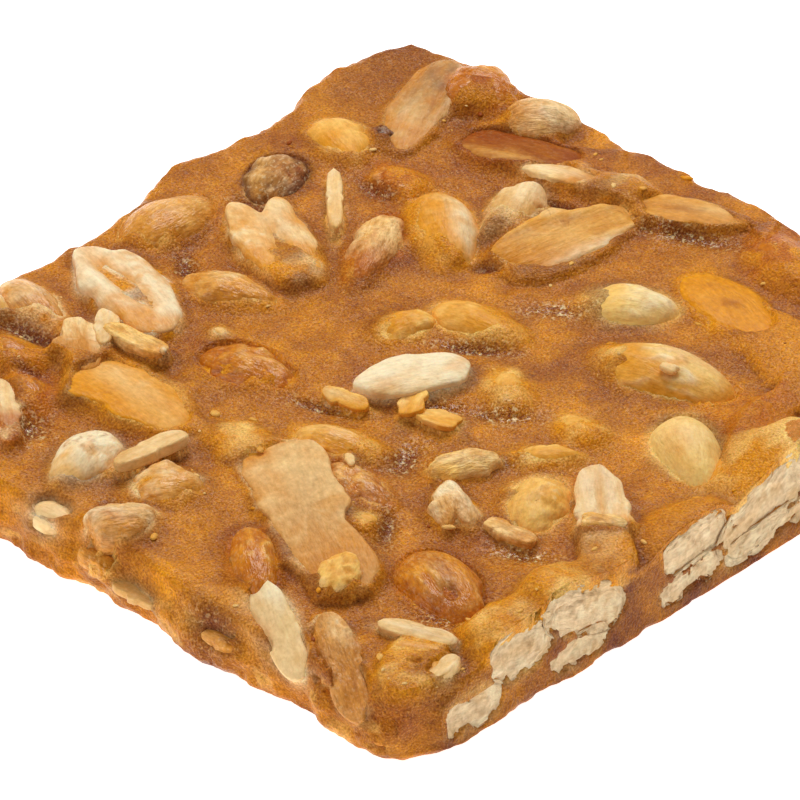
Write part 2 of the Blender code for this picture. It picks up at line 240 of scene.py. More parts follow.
# %% Fit a smooth form to a solid
TURN = np.linspace(0.0, 2.0 * np.pi, 144, endpoint=False)
POWER = {"kernel": 2.1, "half": 2.8, "chip": 6.5, "chunk": 2.7, "cut": 3.0}
FLAT_FORMS = ("half", "chip")
RIM_SHARE = {"half": 0.22}
GRAZING, REGAIN = 0.05, 1.02
BOW_LIMIT = 20.0


def outline_reach(flat, harmonics=7):
    """Reach of a plan outline in every direction.

    The support is the farthest extent of the points along a direction; the reach of their
    hull is the smallest support over cosine of the angle between, where that isn't grazing.
    A few waves of its Fourier series round the corners off, and REGAIN gives back what
    they take.
    """
    directions = np.stack([np.cos(TURN), np.sin(TURN)])
    support = (flat @ directions).max(0)
    facing = np.cos(TURN[:, None] - TURN[None, :])
    reach = np.where(facing > GRAZING, support / np.maximum(facing, GRAZING), np.inf).min(1)
    waves = np.fft.rfft(reach)
    waves[harmonics:] = 0.0
    return np.fft.irfft(waves, len(TURN)) * REGAIN


def bow_terms(q):
    """1, x, y, xx, xy, yy of a local place."""
    x, y = q[..., 0], q[..., 1]
    return np.stack([np.ones_like(x), x, y, x * x, x * y, y * y], -1)


def form_from_solid(name, form, mirror=None):
    """Smooth form measured from one CAD node.

    mirror is a plane (point, normal): the solid's other half, for a nut that the knife
    has halved.
    """
    points, triangles = solid(name)
    middle, spread = moments(points, triangles)
    if mirror is not None:
        at, normal = mirror
        twin = points - 2.0 * ((points - at) @ normal)[:, None] * normal
        points = np.concatenate([points, twin])
        middle = middle - ((middle - at) @ normal) * normal
    axes = np.linalg.eigh(spread)[1].T[::-1]
    along, up = axes[0], axes[2]
    if form not in FLAT_FORMS:
        up = np.array([0.0, 0.0, 1.0]) - along * along[2]
    up = up * np.sign(up[2]) / np.linalg.norm(up)
    along = along * (1.0 if along[0] - along[1] > 0 else -1.0)
    axes = np.stack([along, np.cross(up, along), up])
    local = (points - middle) @ axes.T
    bow = np.zeros(6)
    if form == "chip":
        bow = np.linalg.lstsq(bow_terms(local), local[:, 2], rcond=None)[0]
        local[:, 2] -= bow_terms(local) @ bow
    top, bottom = local[:, 2].max(), local[:, 2].min()
    rim = top - RIM_SHARE.get(form, 0.5) * (top - bottom)
    return SimpleNamespace(name=name, form=form, middle=middle, axes=axes, bow=bow,
                           reach=outline_reach(local[:, :2]), top=top, bottom=bottom,
                           rim=rim, power=POWER[form])


def reach_at(nut, turn):
    """Outline's reach at any angle, read round the measured circle."""
    return np.interp(turn, TURN, nut.reach, period=2.0 * np.pi)


def distance_from(nut, p):
    """Distance of p from the nut's skin in millimetres, negative inside.

    With r the share of the reach in plan and s the share of the height, the measure
    (r^n + s^n)^(1/n) is 1 on the skin; its excess over 1 is divided by its own slope.
    """
    q = (p - nut.middle) @ nut.axes.T
    lift = q[..., 2] - bow_terms(np.clip(q, -BOW_LIMIT, BOW_LIMIT)) @ nut.bow - nut.rim
    reach = reach_at(nut, np.arctan2(q[..., 1], q[..., 0]))
    r = np.hypot(q[..., 0], q[..., 1]) / reach
    height = np.where(lift > 0.0, nut.top - nut.rim, nut.rim - nut.bottom)
    s = np.abs(lift) / height
    n = nut.power
    measure = np.maximum((r ** n + s ** n) ** (1.0 / n), 1e-6)
    slope = np.hypot((r / measure) ** (n - 1) / reach, (s / measure) ** (n - 1) / height)
    return (measure - 1.0) / np.maximum(slope, 1e-6)


# %% [markdown]
# ## The outline of the slab
# The foot of the CAD slab is a ring of 48 points, twelve to a side. Each side becomes a
# smooth curve through its points, and a Coons patch blends the four curves into a grid
# over the whole plan. The ring is softened a little, because syrup has no sharp corners.

# %% The four edges of the slab
SIDE = 260
FOOT_HEIGHT, LEAST_RADIUS = 0.02, 25.0
slab_points = solid("caramel")[0]
foot = np.unique(np.round(slab_points[slab_points[:, 2] < FOOT_HEIGHT, :2], 2), axis=0)
foot = foot[np.hypot(foot[:, 0], foot[:, 1]) > LEAST_RADIUS]
foot = foot[np.argsort(np.arctan2(foot[:, 1], foot[:, 0]))]
corner_signs = ((-1, -1), (1, -1), (1, 1), (-1, 1))
corner_at = [int(np.argmax(foot @ np.array(sign))) for sign in corner_signs]
print("foot of the slab:", len(foot), "points, corners at", corner_at)


def eased_steps(count):
    """Places from 0 to 1, a little closer together at both ends."""
    a = np.linspace(-1.0, 1.0, count)
    return 0.5 * (a + 0.2 * np.sin(np.pi * a) / np.pi + 1.0)


def curve_through(points, count):
    """Catmull-Rom curve through the points, sampled at count places from first to last."""
    padded = np.concatenate([[2 * points[0] - points[1]], points, [2 * points[-1] - points[-2]]])
    t = eased_steps(count) * (len(points) - 1)
    i = np.minimum(t.astype(int), len(points) - 2)
    f = (t - i)[:, None]
    p0, p1, p2, p3 = (padded[i + k] for k in range(4))
    return 0.5 * (2 * p1 + (p2 - p0) * f + (2 * p0 - 5 * p1 + 4 * p2 - p3) * f ** 2
                  + (3 * p1 - p0 - 3 * p2 + p3) * f ** 3)


def soften(ring, width):
    """Closed ring of rows smoothed by a bell of that many rows, by way of its waves."""
    waves = np.fft.rfft(ring, axis=0)
    k = np.arange(len(waves)) * (2.0 * np.pi / len(ring))
    damp = np.exp(-0.5 * (k * width) ** 2)
    return np.fft.irfft(waves * (damp[:, None] if ring.ndim > 1 else damp), len(ring), axis=0)


sides = []
for side in range(4):
    start, end = corner_at[side], corner_at[(side + 1) % 4]
    count = (end - start) % len(foot) + 1
    sides.append(curve_through(foot[(start + np.arange(count)) % len(foot)], SIDE + 1)[:-1])
ring = np.concatenate(sides)
rough = np.concatenate([np.ones(SIDE), np.zeros(SIDE), np.ones(2 * SIDE)])
ring = soften(ring, 3.5)
rough = np.clip(soften(rough, 3.0), 0.0, 1.0)
flat_ring = np.concatenate([ring, np.zeros((len(ring), 1))], -1)
spokes = ring / np.linalg.norm(ring, axis=1)[:, None]
ring = ring + spokes * (0.45 * rough * lumps(flat_ring, 3.4, 3, 9.0))[:, None]
step = np.roll(ring, -1, 0) - np.roll(ring, 1, 0)
outward = np.stack([step[:, 1], -step[:, 0]], -1)
outward /= np.linalg.norm(outward, axis=1)[:, None]
print("ring of", len(ring), "points,", round(float(np.ptp(ring[:, 0])), 1), "x",
      round(float(np.ptp(ring[:, 1])), 1), "mm")

# %% [markdown]
# ## How each nut looks
# A nut's finish comes from its slot in the record, but nuts of one finish still differ:
# how far the caramel has crept over it, from which side, and what its skin is like. Film
# is in millimetres: above zero the caramel lies over the nut that thick, below zero the
# nut is bare. Creep is how much more there is on the side that faces its heading.

# %% Tones and looks
TONE = {
    "ivory": paint(255, 234, 190), "cream": paint(248, 206, 140), "straw": paint(240, 178, 86),
    "butter": paint(255, 202, 108), "primrose": paint(255, 214, 126),
    "gold": paint(228, 146, 16), "honey": paint(208, 128, 24), "amber": paint(188, 98, 10),
    "rust": paint(150, 70, 14), "umber": paint(96, 44, 22), "ash": paint(160, 118, 74),
    "oat": paint(244, 212, 166), "tan": paint(218, 162, 84), "toffee": paint(160, 86, 24),
}
Look = namedtuple("Look", "skin tone low film creep heading", defaults=(0.0, 0.4, -47.0))
LOOKS = {
    # back left
    "half_far_left": Look("fibrous", "tan", "honey", -0.45, 0.3),
    "kernel_far_rim": Look("veined", "straw", "honey", -0.3, 0.3, -120.0),
    "slice_brown": Look("smooth", "toffee", "rust", -0.4, 0.2),
    "slice_pale_back": Look("smooth", "cream", "honey", -0.3, 0.4, 0.0),
    "slice_ragged": Look("fibrous", "straw", "honey", -0.3, 0.3),
    "chunk_cream": Look("fibrous", "cream", "tan", -0.25, 0.4, -90.0),
    "slice_fan": Look("fibrous", "straw", "honey", -0.35, 0.25, -60.0),
    "kernel_crowned": Look("veined", "straw", "gold", -0.15, 0.55, -110.0),
    "chunk_golden_left": Look("glazed", "butter", "gold", -0.3, 0.3),
    "kernel_scorched": Look("crusted", "tan", "umber", -0.6, 0.2),
    "kernel_flaky": Look("flaky", "straw", "amber", -0.4, 0.4),
    # left middle
    "half_open": Look("smooth", "cream", "gold", -0.3, 0.45),
    "kernel_left_rim": Look("glazed", "straw", "honey", -0.2, 0.2),
    "kernel_under_film": Look("crusted", "straw", "honey", -0.25, 0.3),
    "half_hollow": Look("smooth", "ivory", "gold", -0.4, 0.2),
    "half_domed_left": Look("smooth", "cream", "honey", -0.2, 0.3),
    "kernel_rough": Look("crusted", "gold", "amber", -0.25, 0.3),
    "slice_upright": Look("fibrous", "cream", "honey", -0.3, 0.4, -60.0),
    "slice_wide_left": Look("glazed", "straw", "gold", -0.3, 0.3, -90.0),
    # centre
    "seed_white": Look("smooth", "ivory", "cream", -0.4, 0.2),
    "kernel_split_tip": Look("crusted", "butter", "gold", -0.2, 0.3, -150.0),
    "kernel_golden_mid": Look("glazed", "butter", "gold", -0.15, 0.4, 10.0),
    "kernel_coated_front": Look("veined", "butter", "gold", -0.15, 0.3),
    "kernel_red": Look("crusted", "straw", "amber", -0.35, 0.2),
    # right of the centre
    "kernel_flaked_end": Look("veined", "primrose", "butter", -0.28, 0.35, -135.0),
    "slice_golden_flat": Look("glazed", "gold", "gold", -0.3, 0.15),
    "kernel_veined": Look("veined", "primrose", "gold", -0.3, 0.45, -120.0),
    "kernel_clean": Look("glazed", "primrose", "primrose", -1.0, 0.3),
    "slice_rim_right": Look("crusted", "honey", "amber", 0.0, 0.2),
    "kernel_tan": Look("crusted", "butter", "straw", -0.3, 0.25, -150.0),
    "half_long_pale": Look("fibrous", "cream", "gold", -0.35, 0.7),
    "chunk_flaky": Look("flaky", "cream", "gold", -0.35, 0.2),
    # front right
    "kernel_ringed": Look("veined", "gold", "amber", -0.35, 0.25),
    "slice_long": Look("glazed", "cream", "honey", -0.45, 0.32, -30.0),
    "chunk_on_slice": Look("crusted", "butter", "honey", -0.5, 0.1),
    "kernel_front_long": Look("veined", "gold", "amber", -0.35, 0.2),
    "half_front_pale": Look("smooth", "ivory", "cream", -0.9, 0.1),
    "half_front_brown": Look("flaky", "cream", "honey", -0.8, 0.1),
    "half_sunk_corner": Look("smooth", "butter", "gold", 0.25, 0.2),
    # front left
    "kernel_cream_front": Look("flaky", "ivory", "straw", -0.35, 0.3),
    "kernel_round_front": Look("crusted", "cream", "gold", -0.25, 0.3),
    "chunk_crusted_front": Look("flaky", "cream", "honey", -0.25, 0.3),
    "chunk_front_face": Look("smooth", "ivory", "cream", -0.8, 0.2),
    "kernel_front_dark": Look("smooth", "honey", "amber", -0.1, 0.2),
    "half_stick_left": Look("fibrous", "cream", "amber", -0.3, 0.3),
    "kernel_corner_left": Look("veined", "straw", "gold", 0.0, 0.4),
    "half_corner_left": Look("smooth", "cream", "gold", -0.3, 0.3),
    # back right corner
    "kernel_back_right": Look("glazed", "gold", "amber", 0.1, 0.3),
    "half_back_right": Look("smooth", "cream", "gold", -0.3, 0.3),
    "kernel_right_back": Look("crusted", "honey", "amber", 0.05, 0.3),
    "slice_back_right": Look("glazed", "gold", "honey", 0.22, 0.1),
    # through the knife cut
    "cut_front_low": Look("sawn", "straw", "gold", 0.3, 0.0),
    "cut_front_high": Look("sawn", "butter", "gold", 0.3, 0.0),
    "cut_middle_high": Look("sawn", "butter", "gold", 0.3, 0.0),
    "cut_middle_low": Look("sawn", "tan", "honey", 0.4, 0.0),
    "cut_centre_high": Look("sawn", "gold", "honey", 0.5, 0.0),
    "cut_centre_low": Look("sawn", "tan", "honey", 0.4, 0.0),
    "cut_back_high": Look("sawn", "butter", "gold", 0.2, 0.0),
    "cut_back_low": Look("sawn", "tan", "honey", 0.4, 0.0),
}
print(len(LOOKS), "looks for", len(frame["nodes"]) - 1, "nuts")

# %% [markdown]
# ## The knife cut
# The knife came down a little off the upright, so the foot of the cut stands further out
# than its top. The plane goes through the foot of that side and leans back by as much as
# the nuts that it halved show.

# %% The plane of the cut
CUT_LEAN, NEAR_DECK = 0.9, 7.5
deck = float(np.median(slab_points[slab_points[:, 2] > NEAR_DECK, 2]))
straight = foot[(corner_at[1] + np.arange(2, 11)) % len(foot)]
cut_at = np.array([*straight.mean(0), 0.0])
cut_run = np.array([*(straight[-1] - straight[0]), 0.0])
cut_normal = np.cross(cut_run, np.array([-CUT_LEAN, 0.0, deck]))
cut_normal /= np.linalg.norm(cut_normal)
print("deck", round(deck, 2), "mm; cut faces", cut_normal.round(3))

# %% Measure every nut
FORM_OF = {"slice": "chip", "seed": "half",
           "half_domed_left": "kernel", "slice_golden_flat": "half"}
nuts = {}
for name in sorted(LOOKS):
    word = name.split("_")[0]
    form = FORM_OF.get(name, FORM_OF.get(word, word))
    nuts[name] = form_from_solid(name, form, (cut_at, cut_normal) if form == "cut" else None)
lengths = [2 * nut.reach.max() for nut in nuts.values()]
print("longest nut", round(max(lengths), 1), "mm, shortest", round(min(lengths), 1), "mm")

# %% [markdown]
# ## Broken edges
# Split halves and slices are seldom oval: they broke, and left notches and corners. Each
# bite is a row of direction, width and share: it takes that share off the reach round one
# plan direction, counted in degrees from the +X side, and a negative share adds a corner.
# The direction is turned into the nut's own.

# %% Bites out of the outlines
BITES = {
    "half_open": [(150, 11, 0.36), (130, 14, -0.25), (172, 14, -0.08), (-24, 7, 0.12)],
    "half_far_left": [(-59, 12, -0.2), (75, 14, 0.12), (175, 20, 0.1)],
    "half_hollow": [(176, 12, -0.12), (150, 7, 0.12), (-38, 14, -0.14)],
    "slice_long": [(-10, 12, -0.5), (127, 14, -0.3), (170, 14, -0.25), (30, 16, 0.12)],
    "slice_wide_left": [(152, 10, -0.15), (227, 14, -0.25), (110, 8, 0.1)],
    "slice_upright": [(253, 22, -0.8), (60, 20, 0.1)],
    "slice_fan": [(241, 16, -0.3), (63, 10, -0.08), (130, 20, 0.15)],
    "slice_ragged": [(215, 14, 0.2), (262, 12, 0.16), (-25, 12, 0.12)],
    "slice_brown": [(40, 14, -0.12), (-20, 12, 0.15), (230, 12, 0.12)],
    "slice_pale_back": [(200, 12, -0.15), (80, 9, 0.12), (-30, 10, 0.15)],
    "chunk_cream": [(-78, 12, -0.3), (20, 12, 0.12), (175, 10, 0.12)],
    "chunk_flaky": [(-42, 13, 0.45), (140, 12, -0.4), (200, 14, 0.15)],
    "chunk_golden_left": [(-30, 14, -0.15), (60, 12, 0.12)],
    "seed_white": [(241, 12, -0.12), (29, 16, -0.2), (130, 16, 0.08)],
    "kernel_clean": [(160, 20, 0.08), (-40, 16, -0.05)],
    "kernel_flaky": [(-60, 12, -0.15), (200, 14, 0.15)],
    "half_long_pale": [(-46, 5, -0.05), (125, 6, 0.08)],
    "half_front_pale": [(150, 9, -0.1), (-90, 12, 0.12)],
    "half_front_brown": [(20, 12, 0.15), (-80, 9, 0.2), (-120, 8, 0.15)],
    "chunk_crusted_front": [(180, 12, 0.15), (-80, 12, -0.12), (90, 9, 0.1)],
    "cut_middle_high": [(150, 14, 0.12), (20, 10, 0.14)],
    "cut_back_high": [(-70, 12, -0.12), (100, 14, 0.1)],
}
for name, bites in BITES.items():
    nut = nuts[name]
    heading = math.atan2(nut.axes[0, 1], nut.axes[0, 0])
    for toward, width, share in bites:
        gap = (TURN + heading - math.radians(toward) + np.pi) % (2.0 * np.pi) - np.pi
        nut.reach = nut.reach * (1.0 - share * np.exp(-(gap / math.radians(width)) ** 2))
RAGGED = {"chip": 0.075, "chunk": 0.08, "half": 0.02, "cut": 0.05, "kernel": 0.0}
for salt, nut in enumerate(nuts.values()):
    rim = nut.reach[:, None] * np.stack([np.cos(TURN), np.sin(TURN), 0.0 * TURN], -1)
    nut.reach = nut.reach * (1.0 + RAGGED[nut.form] * lumps(rim, 2.6, 3, 30.0 + salt))
print(sum(len(b) for b in BITES.values()), "bites and corners on", len(BITES), "nuts")

# %% [markdown]
# ## Marks on single nuts
# A groove where the two halves met, a rib, a crest where the papery skin stayed or a rust
# spot belongs to one nut. A mark lies at an offset from that nut's middle, in millimetres
# along X and Y. It is an oval bell that lifts or lowers the skin and brings in a tone.

# %% Marks
Mark = namedtuple("Mark", "east north heading length width rise tone share")
MARKS = {
    "half_hollow": [(-1.5, 0, -10, 13, 2.8, -0.9, "gold", 0.75),
                    (-3.5, -2.5, -20, 14, 2.0, 0.4, "ivory", 0.7),
                    (4, -5, 5, 6, 3, 0.0, "gold", 0.7)],
    "half_open": [(2, -0.5, -27, 14, 1.4, -0.6, "tan", 0.7),
                  (-2, 2.5, -25, 10, 3, 0.2, "ivory", 0.4),
                  (7, -3, -20, 6, 5, 0.0, "gold", 0.6)],
    "half_far_left": [(-2, 4, -65, 14, 8, 0.0, "ash", 0.85),
                      (3, -6, -60, 9, 4, 0.1, "cream", 0.5),
                      (1, 2, -66, 15, 1.2, -0.3, "toffee", 0.5)],
    "slice_fan": [(4, 0, 78, 17, 1.8, 0.5, "ivory", 0.75),
                  (-2, 0, 70, 15, 1.2, -0.3, "toffee", 0.4)],
    "slice_long": [(-4, -1, -50, 20, 5, 0.1, "cream", 0.5),
                   (5, -4, -40, 16, 7, 0.0, "honey", 0.45),
                   (-1, 1, -45, 20, 8, 0.0, "ash", 0.25)],
    "slice_wide_left": [(-2, 2, 0, 14, 5, 0.1, "cream", 0.65),
                        (0, -4, -8, 14, 3, 0.0, "gold", 0.8)],
    "slice_brown": [(0, -3, 20, 14, 2, 0.3, "straw", 0.6)],
    "slice_pale_back": [(0, 0, 18, 10, 2, 0.2, "ivory", 0.5)],
    "slice_ragged": [(3.5, 2, 30, 7, 4, 0.1, "cream", 0.6),
                     (-2, -1, 30, 7, 2, -0.3, "toffee", 0.6)],
    "chunk_cream": [(0, 4, -30, 6, 4, 0.4, "ivory", 0.6),
                    (3, 1, -60, 9, 1.5, -0.4, "honey", 0.6)],
    "kernel_crowned": [(2.8, 0.5, -47, 14, 3.6, 0.3, "ivory", 0.7)],
    "kernel_veined": [(1.5, 3, 5, 15, 3.4, 0.25, "cream", 0.7),
                      (2, -2, 0, 3.2, 2.2, -0.4, "tan", 0.5)],
    "kernel_flaked_end": [(3.8, 1.7, 40, 6, 5, 0.25, "ivory", 0.7)],
    "kernel_far_rim": [(1, -0.5, 45, 8, 4, 0.25, "ivory", 0.6)],
    "slice_golden_flat": [(0.7, 0, 20, 2.0, 1.3, -0.1, "rust", 1.0),
                          (-3.6, 1.6, 0, 1.1, 0.9, 0.0, "rust", 0.7)],
    "kernel_scorched": [(-3, 5, 0, 2.0, 1.2, 0.2, "umber", 1.0),
                        (2, 1, -40, 8, 5, 0.0, "rust", 0.7),
                        (-2, -3, -40, 7, 5, 0.0, "tan", 0.7)],
    "half_long_pale": [(-5, 5, -43, 13, 6, 0.1, "oat", 0.6),
                       (0, 0, -43, 18, 1.0, -0.3, "tan", 0.5)],
    "kernel_ringed": [(3, -2, -20, 3.4, 2.2, -0.7, "umber", 0.8),
                      (-2, 1, -20, 7, 2, -0.3, "rust", 0.6)],
    "kernel_flaky": [(0, 2, -61, 12, 3, 0.3, "cream", 0.5),
                     (3, -6, -61, 5, 4, 0.0, "amber", 0.7)],
    "seed_white": [(-1, 0, 60, 9, 4, 0.1, "ivory", 0.6),
                   (1, -5, 60, 6, 2, -0.2, "tan", 0.5)],
    "chunk_flaky": [(0, 2, -24, 8, 2, 0.4, "ivory", 0.7),
                    (-1, -1, 60, 5, 2, 0.3, "cream", 0.6)],
    "kernel_clean": [(-1, 1, -33, 9, 6, 0.0, "cream", 0.6),
                     (2, -4, -33, 12, 3, 0.0, "gold", 0.5)],
    "half_front_pale": [(-0.6, 2.4, -60, 4, 2.6, 0.2, "butter", 0.6),
                        (0.4, -1, -50, 12, 1.6, 0.35, "ivory", 0.6),
                        (1.5, -4, -50, 4, 2.4, -0.2, "gold", 0.5)],
    "half_front_brown": [(1.6, 0.5, -50, 15, 1.4, -0.3, "rust", 0.5),
                         (-1, 0, -50, 14, 2.6, 0.3, "cream", 0.55)],
    "half_sunk_corner": [(-1, 2, 30, 8, 1.6, 0.4, "ivory", 0.7),
                         (1, -2, -60, 6, 4, -0.4, "tan", 0.6)],
}
MARKS = {name: [Mark(*row) for row in rows] for name, rows in MARKS.items()}


def mark_share(p, nut, mark):
    """Bell of 1 at an offset from a nut's middle: a Gaussian of the oval distance from it."""
    a = math.radians(mark.heading)
    dx, dy = p[..., 0] - (nut.middle[0] + mark.east), p[..., 1] - (nut.middle[1] + mark.north)
    along = (dx * math.cos(a) + dy * math.sin(a)) / (mark.length / 2)
    across = (-dx * math.sin(a) + dy * math.cos(a)) / (mark.width / 2)
    return np.exp(-(along * along + across * across))


print(sum(len(m) for m in MARKS.values()), "marks on", len(MARKS), "nuts")

# %% [markdown]
# ## Small bits in the syrup
# Between the whole nuts lie slivers, nubs and crumbs. Each is placed from the measured
# middle of the nut that it lies beside, by an offset along X and Y. A rise over the deck,
# a size and a heading say the rest, and the smooth form is the same as the nuts'. A kind
# of bit has its own finish and look.

# %% Small bits
Bit = namedtuple("Bit", "kind form beside east north rise length width thick heading tilt")
BITS = {
    "white_sliver": [
        ("chip", "kernel_flaky", -9.5, 3, 1.6, 12.5, 2.0, 1.6, -45, 0),
    ],
    "crusty_sliver": [
        ("chip", "slice_wide_left", -6.5, 7.5, 1.6, 9.5, 3.2, 1.8, 5, 0),
        ("chip", "chunk_flaky", 7, 1, 0.8, 7.8, 3.0, 1.2, 8, -8),
    ],
    "pale_shard": [
        ("chip", "kernel_round_front", -5, 2, 2.3, 11.0, 3.0, 1.6, 80, -8),
        ("chip", "slice_upright", 0, 4, 1.3, 6.5, 2.6, 1.2, -50, 0),
        ("chip", "half_sunk_corner", -3.5, 4, 1.0, 9.0, 2.4, 1.3, 19, 6),
        ("chip", "half_sunk_corner", 3, 1.5, 0.9, 6.5, 2.8, 1.6, 100, -12),
        ("chip", "chunk_crusted_front", 6.5, -4, -4.0, 7.0, 2.6, 1.2, 4, 0),
    ],
    "amber_nub": [
        ("kernel", "kernel_corner_left", 2.5, 3, 1.4, 9.0, 4.0, 3.4, -4, 0),
        ("chunk", "chunk_golden_left", 11.5, -2, 1.1, 7.0, 4.8, 3.4, 10, 0),
        ("kernel", "kernel_far_rim", -10, -0.5, 2.8, 9.0, 8.0, 5.0, 10, 0),
    ],
    "pale_nub": [
        ("chunk", "half_domed_left", -3.5, -4, 1.6, 5.6, 4.0, 3.2, 20, 0),
    ],
    "dark_crumb": [
        ("chunk", "half_far_left", 1.5, -9, 1.0, 3.0, 2.6, 2.0, 0, 0),
    ],
    "golden_nub": [
        ("chunk", "slice_pale_back", 6, 2.5, 1.6, 6.4, 5.2, 3.4, 60, 0),
        ("kernel", "seed_white", 9.5, 6.5, 1.1, 10.0, 5.2, 4.0, -50, 0),
        ("kernel", "kernel_clean", -11.5, -6, 1.0, 6.4, 3.8, 3.0, 10, 0),
        ("kernel", "kernel_tan", -5.5, 7.5, 1.1, 9.0, 4.2, 3.2, 45, 0),
        ("kernel", "kernel_coated_front", -8, -7.5, 0.7, 8.5, 6.0, 3.0, 0, 0),
        ("chunk", "kernel_red", 5, -5, 0.9, 3.4, 3.0, 2.4, 0, 0),
    ],
    "golden_sliver": [
        ("chip", "seed_white", -3.5, -8.5, 0.9, 6.8, 2.2, 1.0, 8, 14),
        ("chip", "seed_white", 3.5, -4, 1.1, 6.0, 3.4, 0.8, -60, 12),
        ("chip", "seed_white", 7.5, -4, 0.8, 5.6, 3.6, 0.8, 20, -10),
    ],
    "crusty_nub": [
        ("chunk", "chunk_flaky", -5, 7, 1.7, 9.6, 4.6, 4.0, 62, 0),
        ("chunk", "half_front_pale", -6, -3.2, -3.4, 5.0, 2.4, 1.8, 5, 0),
        ("chunk", "chunk_crusted_front", 0.5, -4.0, -1.8, 6.0, 3.0, 3.2, 0, 0),
        ("chunk", "half_long_pale", 1, -1.5, 2.5, 5.0, 2.6, 1.5, 30, 0),
    ],
    "pale_crumb": [
        ("chunk", "half_sunk_corner", 1, -6.5, -5.6, 2.4, 1.8, 1.6, 30, 0),
        ("chunk", "half_sunk_corner", 0.5, -0.5, 0.7, 2.0, 1.2, 1.0, 20, 0),
        ("chunk", "kernel_rough", -7, 2.5, 0.5, 1.6, 1.1, 0.9, 10, 0),
        ("chunk", "kernel_veined", 2, -1.6, 3.1, 2.2, 1.4, 1.0, 12, 0),
        ("chunk", "kernel_red", -3.5, 2, 1.5, 2.2, 1.2, 0.7, -30, 0),
        ("chunk", "slice_wide_left", -2.5, 8, 2.0, 1.2, 1.0, 0.9, 0, 0),
    ],
}
BITS = [Bit(kind, *row) for kind, rows in BITS.items() for row in rows]
BIT_KINDS = {
    "white_sliver": ("pale_nut", Look("smooth", "cream", "straw", -0.4, 0.2)),
    "crusty_sliver": ("crusted_nut", Look("flaky", "butter", "honey", -0.4, 0.2)),
    "pale_shard": ("pale_nut", Look("fibrous", "cream", "tan", -0.4, 0.2)),
    "amber_nub": ("amber_nut", Look("crusted", "gold", "amber", -0.1, 0.25)),
    "pale_nub": ("pale_nut", Look("crusted", "cream", "straw", -0.2, 0.2)),
    "golden_nub": ("golden_nut", Look("glazed", "butter", "gold", -0.12, 0.3)),
    "golden_sliver": ("golden_nut", Look("fibrous", "butter", "gold", -0.3, 0.2)),
    "crusty_nub": ("crusted_nut", Look("flaky", "butter", "honey", -0.45, 0.2)),
    "dark_crumb": ("dark_nut", Look("crusted", "umber", "umber", -0.2, 0.2)),
    "pale_crumb": ("pale_nut", Look("smooth", "cream", "straw", -0.4, 0.0)),
}
BIT_LOOKS = {kind: look for kind, (_, look) in BIT_KINDS.items()}


def form_from_bit(bit, salt):
    """Form from a bit's row: an oval outline with broken corners, turned and tilted in place."""
    a, t = math.radians(bit.heading), math.radians(bit.tilt)
    along = np.array([math.cos(a), math.sin(a), 0.0])
    across = np.array([-math.sin(a) * math.cos(t), math.cos(a) * math.cos(t), math.sin(t)])
    up = np.cross(along, across)
    power = 2.0 if bit.form == "kernel" else 2.8
    squash = (np.abs(np.cos(TURN) / (bit.length / 2)) ** power
              + np.abs(np.sin(TURN) / (bit.width / 2)) ** power) ** (-1.0 / power)
    corners = np.stack([np.cos(TURN), np.sin(TURN), 0.0 * TURN], -1)
    squash = squash * (1.0 + 0.24 * lumps(corners, 0.9, 3, 5.3 * salt))
    beside = nuts[bit.beside].middle
    middle = np.array([beside[0] + bit.east, beside[1] + bit.north,
                       deck + bit.rise - bit.thick / 2])
    return SimpleNamespace(name=bit.kind, form=bit.form, middle=middle,
                           axes=np.stack([along, across, up]), bow=np.zeros(6), reach=squash,
                           top=bit.thick / 2, bottom=-bit.thick / 2, rim=0.0,
                           power=POWER[bit.form])


bits = [form_from_bit(bit, salt) for salt, bit in enumerate(BITS)]
print(len(bits), "bits of", len(BIT_LOOKS), "kinds")
